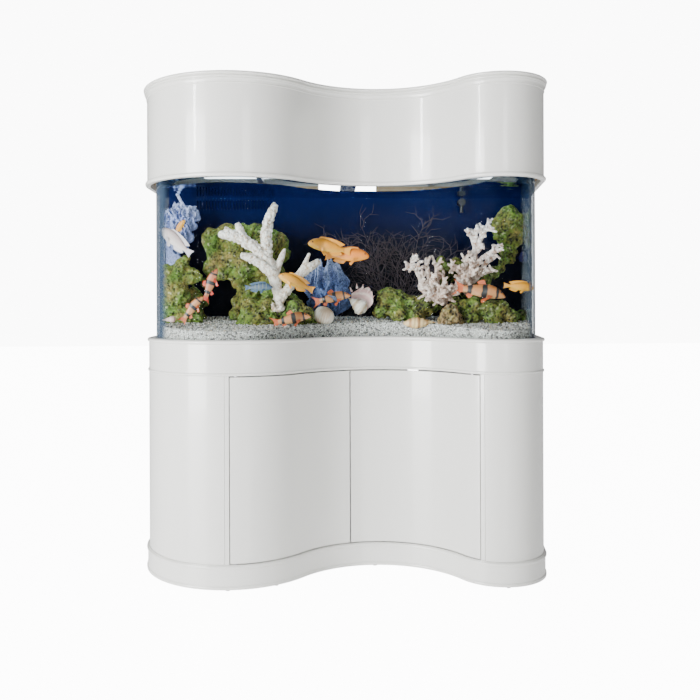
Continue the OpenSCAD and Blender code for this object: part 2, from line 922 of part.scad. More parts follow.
module light_bars() {
    color("silver") for (x = [-bar_x, bar_x])
        translate([0, 0, ledge_z + ledge_h]) linear_extrude(light_bar) intersection() {
            plan(canopy_inner - 1, back_y - canopy_t - 1);
            translate([x - light_bar / 2, -far]) square([light_bar, 2 * far]);
        }
}

light_rows = [front_light_y, back_light_y];

module light_housings() {
    color("dimgray") for (y = light_rows)
        box([-light_l / 2, y, light_z + diffuser_t],
            [light_l / 2, y + light_w, light_z + diffuser_t + light_h]);
}

module light_diffusers() {
    color("white") for (y = light_rows)
        box([diffuser_edge - light_l / 2, y + diffuser_edge, light_z],
            [light_l / 2 - diffuser_edge, y + light_w - diffuser_edge, light_z + diffuser_t]);
}

module lid_pins() {
    color("silver") for (s = [-1, 1], end = [0, 1])
        translate([lid_x0(s) + end * lid_l, lid_pivot_y, lid_pivot_z]) rotate([0, end ? -90 : 90, 0])
            translate([0, 0, -lid_pin_len]) cylinder(r = lid_pin_r, h = 2 * lid_pin_len + gap);
}

module lid(side) {
    x0 = lid_x0(side) + gap;
    x1 = lid_x0(side) + lid_l - gap;
    y0 = lid_y1 - lid_w + gap;
    color("white") difference() {
        box([x0, y0, lid_z], [x1, lid_y1 - gap, top_z]);
        for (x = [x0 - 1, x1 - lid_pin_len - 1]) translate([x, lid_pivot_y, lid_pivot_z]) rotate([0, 90, 0])
            cylinder(r = lid_pin_r + running, h = lid_pin_len + 2);
        bore([(x0 + x1) / 2, y0], notch_r, lid_z - 1, top_z + 1);
    }
}

module left_lid() {
    lid(-1);
}

module right_lid() {
    lid(1);
}

floor_glides();
plinth_skirt();
plinth_lower_bead();
plinth_upper_bead();
floor_board();
left_end_panel();
right_end_panel();
back_panel();
left_divider();
right_divider();
centre_divider();
left_stile();
right_stile();
fascia();
door_top_bead();
deck();
cabinet_rim();
left_door_pivots();
right_door_pivots();
left_door();
right_door();
latch_bodies();
left_latch_plunger();
right_latch_plunger();
foam_mat();
tank_bottom();
tank_front_wrap();
tank_back();
tank_brace();
blue_partition();
chamber_baffles();
filter_foam();
heater();
return_pump();
return_pipe();
return_spout();
gravel_bed();
left_rockwork();
arch_rockwork();
middle_rockwork();
right_rockwork();
right_peak();
antler_coral();
left_coral();
middle_coral();
right_coral();
sea_fan();
shells();
canopy_wall();
canopy_lower_bead();
canopy_rim();
canopy_top();
canopy_ledge();
light_bars();
light_housings();
light_diffusers();
lid_pins();
left_lid();
right_lid();
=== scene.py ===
"""Wave-fronted aquarium on a cabinet stand: its looks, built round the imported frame."""

import math
import random

import bmesh
import bpy
from bpy.props import (
    FloatProperty,
    FloatVectorProperty,
    IntProperty,
    PointerProperty,
)
from mathutils import Matrix, Vector, noise


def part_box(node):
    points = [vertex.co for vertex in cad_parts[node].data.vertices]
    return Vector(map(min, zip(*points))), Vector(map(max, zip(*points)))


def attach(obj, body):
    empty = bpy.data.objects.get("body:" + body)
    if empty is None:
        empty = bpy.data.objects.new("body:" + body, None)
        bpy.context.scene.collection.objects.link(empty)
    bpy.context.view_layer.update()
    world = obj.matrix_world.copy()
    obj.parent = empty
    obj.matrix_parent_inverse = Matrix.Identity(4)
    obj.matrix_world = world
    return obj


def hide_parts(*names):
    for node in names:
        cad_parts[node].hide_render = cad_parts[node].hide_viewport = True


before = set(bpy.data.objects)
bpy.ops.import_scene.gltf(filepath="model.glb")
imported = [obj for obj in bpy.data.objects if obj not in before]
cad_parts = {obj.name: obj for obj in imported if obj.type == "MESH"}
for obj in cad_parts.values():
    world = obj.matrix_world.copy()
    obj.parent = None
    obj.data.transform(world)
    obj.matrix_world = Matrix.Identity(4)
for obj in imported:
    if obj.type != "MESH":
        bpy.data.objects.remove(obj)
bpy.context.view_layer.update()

bl_info = {
    "name": "Wave-Fronted Aquarium",
    "version": (1, 0, 0),
    "blender": (4, 5, 0),
    "location": "View3D > Sidebar > Aquarium",
    "description": "Builds an aquarium on its stand, piece by piece",
    "category": "Object",
}

ROOT = "cabinet_and_tank"
MM = 0.001
TURN = math.radians(1.5)


def level(node):
    """The lowest and highest height of a CAD node."""
    low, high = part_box(node)
    return low.z, high.z


# ---- Sizes and colours that can be changed ----


class PlanSettings(bpy.types.PropertyGroup):
    """The wave-shaped line of the cabinet's wall"""

    left_lobe_r: FloatProperty(
        name="Left Lobe", description="Radius of the large lobe", default=0.328, unit="LENGTH"
    )
    right_lobe_r: FloatProperty(
        name="Right Lobe", description="Radius of the small lobe", default=0.162, unit="LENGTH"
    )
    dip_depth: FloatProperty(
        name="Dip",
        description="How far the hollow between the lobes lies behind the front",
        default=0.252,
        unit="LENGTH",
    )
    lobe_step: FloatProperty(
        name="Lobe Step",
        description="How far the right lobe stands in front of the left one",
        default=0.014,
        unit="LENGTH",
    )
    right_lean: FloatProperty(
        name="Right Lean",
        description="Outward lean of the right side towards the back",
        default=math.radians(8),
        subtype="ANGLE",
    )
    split_x: FloatProperty(
        name="Door Split", description="Where the two doors meet", default=-0.004, unit="LENGTH"
    )
    gap: FloatProperty(
        name="Gap", description="Gap beside the doors", default=0.003, unit="LENGTH"
    )


class FinishSettings(bpy.types.PropertyGroup):
    """Colours of the furniture and of the water's background"""

    lacquer: FloatVectorProperty(
        name="Lacquer",
        description="Colour of the painted boards",
        default=(0.80, 0.80, 0.775),
        subtype="COLOR",
        size=3,
    )
    backdrop_low: FloatVectorProperty(
        name="Backdrop Low",
        description="Colour of the partition near the gravel",
        default=(0.0003, 0.0009, 0.006),
        subtype="COLOR",
        size=3,
    )
    # Colour of the partition at the top, made lighter there by painted light from above
    backdrop_lit_top: FloatVectorProperty(
        name="Backdrop High",
        description="Colour of the partition near the surface",
        default=(0.0015, 0.008, 0.07),
        subtype="COLOR",
        size=3,
    )


class TankSettings(bpy.types.PropertyGroup):
    """What stands in the tank"""

    seed: IntProperty(name="Seed", description="Start of the random draws", default=7)
    rock_voxel: FloatProperty(
        name="Rock Grain", description="Cell size of the rocks", default=0.0034, unit="LENGTH"
    )
    coral_voxel: FloatProperty(
        name="Coral Grain", description="Cell size of the corals", default=0.0024, unit="LENGTH"
    )
    pebble: FloatProperty(
        name="Pebble", description="Radius of a gravel grain", default=0.0031, unit="LENGTH"
    )
    pebbles: IntProperty(name="Pebbles", description="Number of loose grains", default=5200)


class StageSettings(bpy.types.PropertyGroup):
    """Camera and studio"""

    lens: FloatProperty(name="Lens", description="Focal length in millimetres", default=41.1)
    eye: FloatVectorProperty(
        name="Eye",
        description="Place of the camera",
        default=(-0.1015, -3.0335, 1.0),
        subtype="XYZ",
        unit="LENGTH",
        size=3,
    )
    yaw: FloatProperty(
        name="Yaw",
        description="Turn of the camera to the right",
        default=math.radians(1.9),
        subtype="ANGLE",
    )
    roll: FloatProperty(
        name="Roll", description="Tilt of the camera", default=math.radians(-0.2), subtype="ANGLE"
    )
    drop: FloatProperty(
        name="Drop", description="Share of the frame the view is lowered by", default=0.0743
    )


# ---- The plan's line ----


def unit(angle):
    return Vector((math.cos(angle), math.sin(angle), 0))


class Line:
    """A straight stretch of the wall, with the inside on its left."""

    def __init__(self, a, b):
        self.a, self.b = a, b

    def spot(self, out, up):
        d = (self.b - self.a).normalized()
        return self.a + Vector((d.y, -d.x, 0)) * out + Vector((0, 0, up))

    def carry(self, bm, geom):
        edges = [g for g in geom if isinstance(g, bmesh.types.BMEdge)]
        if edges:
            made = bmesh.ops.extrude_edge_only(bm, edges=edges)["geom"]
        else:
            made = bmesh.ops.extrude_vert_indiv(bm, verts=geom)
            made = made["edges"] + made["verts"]
        verts = [g for g in made if isinstance(g, bmesh.types.BMVert)]
        bmesh.ops.translate(bm, verts=verts, vec=self.b - self.a)
        if not edges:
            return verts
        held = set(verts)
        return verts + [
            g for g in made if isinstance(g, bmesh.types.BMEdge) and set(g.verts) <= held
        ]


class Arc:
    """A bent stretch of the wall: convex where the angle grows, hollow where it falls."""

    def __init__(self, centre, radius, start, stop):
        self.centre, self.radius, self.start, self.stop = centre, radius, start, stop
        self.side = 1 if stop > start else -1

    def spot(self, out, up, angle=None):
        angle = self.start if angle is None else angle
        return (
            self.centre + unit(angle) * (self.radius + self.side * out) + Vector((0, 0, up))
        )

    def carry(self, bm, geom):
        made = bmesh.ops.spin(
            bm,
            geom=geom,
            cent=self.centre,
            axis=(0, 0, 1),
            angle=self.stop - self.start,
            steps=max(1, math.ceil(abs(self.stop - self.start) / TURN)),
            use_merge=False,
            use_duplicate=False,
        )
        return made["geom_last"]

    def cut(self, start=None, stop=None):
        return Arc(
            self.centre,
            self.radius,
            self.start if start is None else start,
            self.stop if stop is None else stop,
        )


class Plan:
    """The wall line of the cabinet seen from above, from the left back round to the right back."""

    def __init__(self, s):
        low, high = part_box("fascia")
        self.gap, self.lean = s.gap, s.right_lean
        self.back = high.y
        self.left_c = Vector((low.x + s.left_lobe_r, low.y + s.lobe_step + s.left_lobe_r, 0))
        y = low.y + s.right_lobe_r
        reach = (self.back - y) * math.tan(s.right_lean) + s.right_lobe_r / math.cos(s.right_lean)
        self.right_c = Vector((high.x - reach, y, 0))
        # The hollow's radius is the one that touches both lobes and reaches back by dip_depth
        span = self.right_c.x - self.left_c.x
        left_rise = s.dip_depth - s.lobe_step
        rise_l = (left_rise - s.left_lobe_r) ** 2 - s.left_lobe_r**2
        rise_r = (s.dip_depth - s.right_lobe_r) ** 2 - s.right_lobe_r**2
        a, b = s.dip_depth - left_rise, 2 * span * left_rise
        c = rise_l * s.dip_depth - (span * span + rise_r) * left_rise
        across = -2 * c / (b + math.sqrt(b * b - 4 * a * c))
        dip_r = (across * across + rise_l) / (2 * left_rise)
        self.dip_c = Vector((self.left_c.x + across, low.y + s.dip_depth - dip_r, 0))
        to_dip = self.dip_c - self.left_c
        from_dip = self.dip_c - self.right_c
        left_turn = math.atan2(to_dip.y, to_dip.x)
        right_turn = math.atan2(from_dip.y, from_dip.x)
        half = math.pi
        self.left_side = Line(
            Vector((low.x, self.back, 0)), Vector((low.x, self.left_c.y, 0))
        )
        self.left_lobe = Arc(self.left_c, s.left_lobe_r, -half, left_turn)
        self.dip = Arc(self.dip_c, dip_r, half + left_turn, half + right_turn)
        self.right_lobe = Arc(self.right_c, s.right_lobe_r, right_turn, -s.right_lean)
        tip = self.right_c + unit(-s.right_lean) * s.right_lobe_r
        rise = Vector((math.tan(s.right_lean), 1, 0))
        self.right_side = Line(tip, tip + rise * (self.back + 30 * MM - tip.y))
        self.split = self.dip_point(s.split_x)

    def dip_point(self, x):
        y = self.dip_c.y + math.sqrt(self.dip.radius**2 - (x - self.dip_c.x) ** 2)
        return Vector((x, y, 0))

    def whole(self):
        return [self.left_side, self.left_lobe, self.dip, self.right_lobe, self.right_side]


# ---- Meshes ----


def sweep(bm, outline, stretches):
    """Draws a closed outline of (out, up) points along stretches of the plan and caps both ends."""
    ring = [bm.verts.new(stretches[0].spot(out, up)) for out, up in outline]
    geom = ring + [bm.edges.new(pair) for pair in zip(ring, ring[1:] + ring[:1])]
    for stretch in stretches:
        geom = stretch.carry(bm, geom)
    close_holes(bm)


def close_holes(bm):
    rims = [e for e in bm.edges if e.is_boundary]
    if rims:
        bmesh.ops.holes_fill(bm, edges=rims, sides=0)


def trim(bm, point, normal):
    """Cuts off what lies beyond a plane and closes the cut."""
    geom = bm.verts[:] + bm.edges[:] + bm.faces[:]
    bmesh.ops.bisect_plane(
        bm, geom=geom, dist=1e-6, plane_co=point, plane_no=normal, clear_outer=True
    )
    close_holes(bm)


def extrude_rows(bm, segments, steps):
    """A round of points and the rounds extruded from it, for a tube that is shaped afterwards."""
    rows = [bmesh.ops.create_circle(bm, segments=segments, radius=1)["verts"]]
    edges = list({e for v in rows[0] for e in v.link_edges})
    for _ in range(steps):
        made = bmesh.ops.extrude_edge_only(bm, edges=edges)["geom"]
        rows.append([g for g in made if isinstance(g, bmesh.types.BMVert)])
        held = set(rows[-1])
        edges = [g for g in made if isinstance(g, bmesh.types.BMEdge) and set(g.verts) <= held]
    return rows


def block(low, high):
    """A rectangular outline of (out, up) points."""
    return [(low[0], low[1]), (high[0], low[1]), (high[0], high[1]), (low[0], high[1])]


def nose(out, reach, low, high, steps=8):
    """Points of a rounded nose that bulges from out to out + reach between two heights."""
    mid, half = (low + high) / 2, (high - low) / 2
    turns = [math.pi * (i / steps - 0.5) for i in range(steps + 1)]
    return [(out + reach * math.cos(t), mid + half * math.sin(t)) for t in turns]


def cove(out_low, low, out_high, high, steps=7):
    """Points of a hollow quarter that climbs from one place to a further one."""
    turns = [math.pi / 2 * i / steps for i in range(steps + 1)]
    return [
        (out_low + (out_high - out_low) * (1 - math.cos(t)), low + (high - low) * math.sin(t))
        for t in turns
    ]


def add_box(bm, low, high):
    low, high = Vector(low), Vector(high)
    size = high - low
    matrix = Matrix.Translation((low + high) / 2) @ Matrix.Diagonal((*size, 1))
    return bmesh.ops.create_cube(bm, size=1, matrix=matrix)["verts"]


def add_bar(bm, start, stop, radius, radius_stop=None, segments=24):
    """A round bar, or a cone, between two points."""
    start, stop = Vector(start), Vector(stop)
    d = stop - start
    matrix = Matrix.Translation((start + stop) / 2) @ d.to_track_quat("Z", "Y").to_matrix().to_4x4()
    return bmesh.ops.create_cone(
        bm,
        cap_ends=True,
        segments=segments,
        radius1=radius,
        radius2=radius if radius_stop is None else radius_stop,
        depth=d.length,
        matrix=matrix,
    )["verts"]


class Pile:
    """Gathers many small shapes in batches, because each step on a large bmesh is slow."""

    def __init__(self, size=80, layer=None):
        self.size, self.count, self.layer = size, 0, layer
        self.whole, self.batch = self.fresh(), self.fresh()

    def fresh(self):
        bm = bmesh.new()
        if self.layer:
            bm.verts.layers.float.new(self.layer)
        return bm

    def next(self):
        """The bmesh that takes the next shape."""
        self.count += 1
        if self.count % self.size == 0:
            self.flush()
        return self.batch

    def flush(self):
        mesh = bpy.data.meshes.new("Batch")
        self.batch.to_mesh(mesh)
        self.batch.free()
        self.whole.from_mesh(mesh)
        bpy.data.meshes.remove(mesh)
        self.batch = self.fresh()

    def done(self):
        self.flush()
        self.batch.free()
        return self.whole


def add_ball(bm, place, radius, detail=2, stretch=(1, 1, 1), turn=None):
    if isinstance(bm, Pile):
        bm = bm.next()
    matrix = Matrix.Translation(place)
    if turn is not None:
        matrix = matrix @ turn.to_4x4()
    matrix = matrix @ Matrix.Diagonal((*stretch, 1))
    return bmesh.ops.create_icosphere(bm, subdivisions=detail, radius=radius, matrix=matrix)["verts"]


def to_object(bm, name, material, sharp=math.radians(32), flip=True):
    if flip:
        bmesh.ops.remove_doubles(bm, verts=bm.verts[:], dist=1e-6)
        bmesh.ops.recalc_face_normals(bm, faces=bm.faces[:])
    mesh = bpy.data.meshes.new(name)
    bm.to_mesh(mesh)
    bm.free()
    return shade(mesh, name, material, sharp)


def shade(mesh, name, material, sharp):
    mesh.polygons.foreach_set("use_smooth", [True] * len(mesh.polygons))
    mesh.set_sharp_from_angle(angle=sharp)
    obj = bpy.data.objects.new(name, mesh)
    bpy.context.scene.collection.objects.link(obj)
    if material is not None:
        mesh.materials.append(material)
    return obj


def soften(obj, width=1.2 * MM, segments=3, angle=math.radians(38)):
    """Rounds a piece's sharp edges."""
    mod = obj.modifiers.new("Rounded edges", "BEVEL")
    mod.width = width
    mod.segments = segments
    mod.limit_method = "ANGLE"
    mod.angle_limit = angle
    mod.harden_normals = True
    return obj


def mount(obj, body, slot, *nodes):
    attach(obj, body)
    if nodes:
        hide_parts(*nodes)
    return obj


def bake_modifiers(obj):
    """Replaces a piece's mesh by what its modifiers make."""
    graph = bpy.context.evaluated_depsgraph_get()
    graph.update()
    mesh = bpy.data.meshes.new_from_object(obj.evaluated_get(graph), depsgraph=graph)
    old = obj.data
    obj.modifiers.clear()
    obj.data = mesh
    bpy.data.meshes.remove(old)
    return obj


def fuse(obj, voxel):
    """Melts overlapping lumps into one closed skin."""
    mod = obj.modifiers.new("Fused", "REMESH")
    mod.mode = "VOXEL"
    mod.voxel_size = voxel
    mod.use_smooth_shade = True
    return bake_modifiers(obj)


def weather(obj, depth, label="relief"):
    """Moves each vertex along its normal by depth(place), and keeps that depth as an attribute."""
    mesh = obj.data
    moves = [depth(v.co) for v in mesh.vertices]
    normals = [v.normal.copy() for v in mesh.vertices]
    low, high = min(moves), max(moves)
    attribute = mesh.attributes.new(label, "FLOAT", "POINT")
    attribute.data.foreach_set("value", [(m - low) / (high - low) for m in moves])
    for vertex, normal, move in zip(mesh.vertices, normals, moves):
        vertex.co += normal * move
    mesh.update()
    return obj


def mark_reach(obj, root, reach):
    """Keeps how far each vertex is from the root, from 0 to 1, as an attribute."""
    far = obj.data.attributes.new("reach", "FLOAT", "POINT")
    far.data.foreach_set(
        "value", [min(1.0, (v.co - root).length / reach) for v in obj.data.vertices]
    )


# ---- Materials ----


class Value:
    """A number that varies over a surface: arithmetic on it adds Math nodes."""

    def __init__(self, finish, socket):
        self.finish, self.socket = finish, socket

    def math(self, operation, *others, clamp=False):
        inputs = {0: self.socket}
        for i, other in enumerate(others):
            inputs[i + 1] = other.socket if isinstance(other, Value) else other
        return self.finish.add(
            "ShaderNodeMath", {"operation": operation, "use_clamp": clamp}, inputs
        ).value()

    def __add__(self, other):
        return self.math("ADD", other)

    def __sub__(self, other):
        return self.math("SUBTRACT", other)

    def __mul__(self, other):
        return self.math("MULTIPLY", other)

    def __truediv__(self, other):
        return self.math("DIVIDE", other)

    def __rsub__(self, other):
        return (self * -1) + other

    __radd__ = __add__
    __rmul__ = __mul__

    def clamped(self):
        return self.math("ADD", 0.0, clamp=True)

    def span(self, low, high):
        """0 below low, 1 above high, and even in between."""
        return ((self - low) / (high - low)).clamped()

    def power(self, exponent):
        return self.math("POWER", exponent)


class Made:
    """A node that was added, with ways to its outputs."""

    def __init__(self, finish, node):
        self.finish, self.node = finish, node

    def out(self, name=0):
        return self.node.outputs[name]

    def value(self, name=0):
        return Value(self.finish, self.out(name))


class Finish:
    """A material: one Principled shader, and nodes that vary it."""

    def __init__(self, name, colour=(0.8, 0.8, 0.8), **uniform):
        self.material = bpy.data.materials.new(name)
        self.material.use_nodes = True
        self.tree = self.material.node_tree
        self.tree.nodes.clear()
        self.shader = self.add("ShaderNodeBsdfPrincipled", {}, {"Base Color": (*colour[:3], 1)})
        for key, value in uniform.items():
            self.shader.node.inputs[key.replace("_", " ")].default_value = value
        self.end = self.add("ShaderNodeOutputMaterial", {}, {"Surface": self.shader.out()})
        self._place = None

    def add(self, kind, settings, inputs):
        node = self.tree.nodes.new(kind)
        for key, value in settings.items():
            if key == "stops":
                ramp = node.color_ramp
                while len(ramp.elements) < len(value):
                    ramp.elements.new(0.5)
                for element, (place, colour) in zip(ramp.elements, value):
                    element.position = place
                    element.color = (*colour[:3], 1)
            else:
                setattr(node, key, value)
        for key, value in inputs.items():
            self.put(node, key, value)
        return Made(self, node)

    def put(self, node, key, value):
        if isinstance(value, Value):
            value = value.socket
        if isinstance(value, Made):
            value = value.out()
        if isinstance(value, bpy.types.NodeSocket):
            self.tree.links.new(value, node.inputs[key])
        else:
            node.inputs[key].default_value = value

    def set(self, **inputs):
        for key, value in inputs.items():
            self.put(self.shader.node, key.replace("_", " "), value)
        return self

    @property
    def place(self):
        if self._place is None:
            self._place = self.add("ShaderNodeTexCoord", {}, {}).out("Object")
        return self._place

    def stretch(self, scale, vector=None):
        return self.add(
            "ShaderNodeMapping",
            {},
            {"Vector": self.place if vector is None else vector, "Scale": scale},
        ).out()

    def axis(self, name, vector=None):
        split = self.add(
            "ShaderNodeSeparateXYZ", {}, {0: self.place if vector is None else vector}
        )
        return split.value(name)

    def grain(self, scale, detail=4.0, rough=0.5, vector=None, warp=0.0):
        return self.add(
            "ShaderNodeTexNoise",
            {},
            {
                "Vector": self.place if vector is None else vector,
                "Scale": scale,
                "Detail": detail,
                "Roughness": rough,
                "Distortion": warp,
            },
        ).value("Fac")

    def cells(self, scale, feature="F1", output="Distance", vector=None):
        made = self.add(
            "ShaderNodeTexVoronoi",
            {"feature": feature},
            {"Vector": self.place if vector is None else vector, "Scale": scale},
        )
        return made.value(output)

    def attribute(self, name):
        return self.add(
            "ShaderNodeAttribute", {"attribute_type": "GEOMETRY", "attribute_name": name}, {}
        ).value("Fac")

    def ramp(self, value, stops):
        return self.add("ShaderNodeValToRGB", {"stops": stops}, {"Fac": value}).out("Color")

    def blend(self, share, a, b, mode="MIX"):
        def colour(c):
            return (*c[:3], 1) if isinstance(c, (tuple, list)) else c

        return self.add(
            "ShaderNodeMix",
            {"data_type": "RGBA", "blend_type": mode},
            {0: share, 6: colour(a), 7: colour(b)},
        ).out(2)

    def bump(self, height, distance, strength=1.0):
        made = self.add(
            "ShaderNodeBump", {}, {"Height": height, "Distance": distance, "Strength": strength}
        )
        return self.set(Normal=made.out("Normal"))


_finishes = {}


def finish(name):
    """The material of that name, made the first time it is asked for."""
    if name not in _finishes:
        _finishes[name] = MAKERS[name](name).material
    return _finishes[name]


def white_lacquer(name):
    colour = tuple(bpy.context.scene.aquarium_finish.lacquer)
    f = Finish(name, colour, Specular_IOR_Level=0.5, Coat_Weight=0.55, Coat_Roughness=0.06)
    cloud = f.grain(3.0, 3.0)
    speck = f.grain(240.0, 2.0)
    warm = tuple(c * k for c, k in zip(colour, (0.975, 0.975, 0.955)))
    f.set(Base_Color=f.blend(cloud, colour, warm), Roughness=speck * 0.06 + cloud * 0.05 + 0.24)
    return f.bump(f.grain(70.0, 3.0) * 0.7 + speck * 0.3, 0.00006)


def inside_lacquer(name):
    f = Finish(name, (0.72, 0.72, 0.70), Specular_IOR_Level=0.4)
    dust = f.grain(14.0, 5.0)
    f.set(
        Base_Color=f.blend(dust.span(0.35, 0.75), (0.74, 0.74, 0.72), (0.64, 0.64, 0.61)),
        Roughness=dust * 0.15 + 0.4,
    )
    return f.bump(f.grain(160.0), 0.0001)


def plywood(name):
    f = Finish(name, (0.52, 0.37, 0.21))
    along = f.stretch((1.2, 26.0, 26.0))
    lines = f.grain(6.0, 6.0, 0.6, along, 1.4)
    pores = f.grain(60.0, 2.0, 0.5, f.stretch((1.0, 18.0, 18.0)))
    f.set(
        Base_Color=f.ramp(
            lines, [(0.3, (0.40, 0.26, 0.13)), (0.5, (0.56, 0.41, 0.24)), (0.72, (0.66, 0.51, 0.33))]
        ),
        Roughness=pores * 0.2 + 0.55,
    )
    return f.bump(lines * 0.5 + pores * 0.5, 0.0003)


def foam(name, dark=(0.018, 0.018, 0.02), scale=420.0):
    f = Finish(name, dark)
    pores = f.cells(scale)
    light = tuple(c * 2.6 + 0.01 for c in dark)
    f.set(Base_Color=f.blend(pores.span(0.15, 0.6), dark, light), Roughness=pores * 0.2 + 0.75)
    return f.bump(pores, 0.0008)


def brushed_steel(name):
    f = Finish(name, (0.55, 0.55, 0.57), Metallic=1.0)
    hair = f.grain(90.0, 3.0, 0.6, f.stretch((1.0, 1.0, 0.05)))
    f.set(
        Base_Color=f.blend(hair, (0.50, 0.50, 0.52), (0.66, 0.66, 0.68)), Roughness=hair * 0.2 + 0.24
    )
    return f.bump(hair, 0.00005)


def satin_aluminium(name):
    f = Finish(name, (0.62, 0.63, 0.65), Metallic=1.0)
    hair = f.grain(140.0, 2.0, 0.5, f.stretch((0.03, 1.0, 1.0)))
    f.set(
        Base_Color=f.blend(hair, (0.56, 0.57, 0.59), (0.68, 0.69, 0.71)), Roughness=hair * 0.14 + 0.32
    )
    return f.bump(hair, 0.00006)


def moulded_plastic(name, colour, roughness):
    f = Finish(name, colour, Specular_IOR_Level=0.45)
    skin = f.grain(700.0, 2.0)
    tone = f.grain(18.0, 3.0)
    light = tuple(min(1.0, c * 1.15 + 0.004) for c in colour)
    f.set(Base_Color=f.blend(tone, colour, light), Roughness=skin * 0.12 + roughness)
    return f.bump(skin, 0.00008)


def lamp_diffuser(name):
    f = Finish(name, (0.9, 0.9, 0.88), Roughness=0.5, Emission_Strength=4.0)
    ribs = f.grain(90.0, 1.0, 0.5, f.stretch((0.05, 1.0, 1.0)))
    f.set(
        Emission_Color=f.blend(ribs, (0.80, 0.90, 1.0), (0.95, 0.98, 1.0)),
        Base_Color=f.blend(ribs, (0.85, 0.86, 0.86), (0.92, 0.92, 0.92)),
    )
    return f.bump(ribs, 0.0003)


def clear_acrylic(name):
    """Thin clear sheet: what is behind it shows straight through, and it mirrors more at a slant."""
    f = Finish(name, (0.03, 0.06, 0.11), Roughness=0.03, Specular_IOR_Level=1.0)
    smear = f.grain(5.0, 4.0, 0.6)
    f.set(Roughness=smear * 0.03 + 0.015)
    clear = f.add("ShaderNodeBsdfTransparent", {}, {"Color": (0.965, 0.985, 0.98, 1)})
    facing = f.add("ShaderNodeLayerWeight", {}, {"Blend": 0.35}).value("Facing")
    share = (facing.span(0.42, 0.62) * 0.85 + facing.power(4.0) * 0.15 + smear * 0.003).clamped()
    mixed = f.add("ShaderNodeMixShader", {}, {0: share, 1: clear.out(), 2: f.shader.out()})
    f.put(f.end.node, "Surface", mixed.out())
    return f


def water_surface(name):
    """Clear when looked through squarely, a mirror at a slant."""
    f = Finish(name, (0.25, 0.45, 0.75), Metallic=1.0, Roughness=0.05)
    ripple = f.grain(14.0, 3.0)
    f.set(Roughness=ripple * 0.04 + 0.02)
    f.bump(ripple, 0.002)
    clear = f.add("ShaderNodeBsdfTransparent", {}, {"Color": (0.93, 0.97, 1.0, 1)})
    facing = f.add("ShaderNodeLayerWeight", {}, {"Blend": 0.5}).value("Facing")
    mixed = f.add(
        "ShaderNodeMixShader", {}, {0: facing.span(0.30, 0.55), 1: clear.out(), 2: f.shader.out()}
    )
    f.put(f.end.node, "Surface", mixed.out())
    return f


def blue_backdrop(name):
    s = bpy.context.scene.aquarium_finish
    f = Finish(name, s.backdrop_low, Specular_IOR_Level=0.08)
    low, high = level("blue_partition")
    height = f.axis("Z").span(low, high)
    cloud = f.grain(2.6, 4.0, 0.55)
    # Painted light: the partition grows lighter towards the top, as if lit from above
    glow = (height + (cloud - 0.5) * 0.25).span(0.45, 1.05).power(1.7)
    f.set(
        Base_Color=f.blend(glow, tuple(s.backdrop_low), tuple(s.backdrop_lit_top)),
        Roughness=cloud * 0.1 + 0.3,
    )
    return f.bump(f.grain(30.0), 0.00004)


def pale_gravel(name):
    f = Finish(name, (0.6, 0.6, 0.57))
    tone = f.cells(190.0, "F1", "Color")
    edge = f.cells(190.0, "DISTANCE_TO_EDGE")
    grit = f.grain(900.0, 3.0)
    colour = f.ramp(
        tone,
        [
            (0.0, (0.05, 0.05, 0.055)),
            (0.22, (0.20, 0.19, 0.18)),
            (0.36, (0.52, 0.50, 0.47)),
            (0.62, (0.70, 0.69, 0.66)),
            (0.85, (0.86, 0.86, 0.84)),
            (1.0, (0.58, 0.47, 0.33)),
        ],
    )
    # Painted shade: the gaps between the grains, along the cell edges, are near black
    f.set(
        Base_Color=f.blend(edge.span(0.0, 0.10), (0.05, 0.05, 0.055), colour),
        Roughness=grit * 0.3 + 0.55,
    )
    return f.bump(edge * 2.0 + grit * 0.2, 0.0015)


def pebble_stone(name):
    f = Finish(name, (0.66, 0.65, 0.62))
    tone = f.attribute("tone")
    grit = f.grain(1200.0, 3.0)
    colour = f.ramp(
        tone,
        [
            (0.0, (0.03, 0.03, 0.035)),
            (0.16, (0.16, 0.15, 0.15)),
            (0.3, (0.50, 0.47, 0.43)),
            (0.55, (0.70, 0.69, 0.66)),
            (0.8, (0.88, 0.88, 0.86)),
            (0.95, (0.60, 0.50, 0.36)),
        ],
    )
    f.set(
        Base_Color=f.blend(grit.span(0.4, 0.8) * 0.3, colour, (0.3, 0.28, 0.26)),
        Roughness=grit * 0.3 + 0.5,
    )
    return f.bump(grit, 0.0003)


def mossy_rock(name, dry=0.0):
    """Porous rock: painted shade makes its hollows near black, with algae from olive to bright green on
    what stands out.
    """
    f = Finish(name, (0.2, 0.2, 0.08), Specular_IOR_Level=0.3)
    relief = f.attribute("relief")
    patch = f.grain(13.0, 5.0, 0.6)
    spot = f.grain(60.0, 4.0, 0.65)
    fine = f.grain(330.0, 3.0, 0.6)
    moss = f.ramp(
        (patch * 0.75 + spot * 0.35 - dry).clamped(),
        [
            (0.28, (0.30, 0.20, 0.10)),
            (0.42, (0.28, 0.22, 0.06)),
            (0.52, (0.16, 0.18, 0.03)),
            (0.64, (0.13, 0.24, 0.035)),
            (0.80, (0.26, 0.38, 0.10)),
        ],
    )
    pale = f.blend(spot.span(0.55, 0.72) * 0.75, moss, (0.62, 0.56, 0.38))
    # Painted shade: where the relief is low, the colour goes to near black
    shaded_in_hollows = f.blend((relief + (fine - 0.5) * 0.5).span(0.3, 0.75), (0.012, 0.011, 0.006), pale)
    f.set(Base_Color=shaded_in_hollows, Roughness=fine * 0.3 + 0.6)
    return f.bump(spot * 0.5 + fine * 0.5, 0.0035)


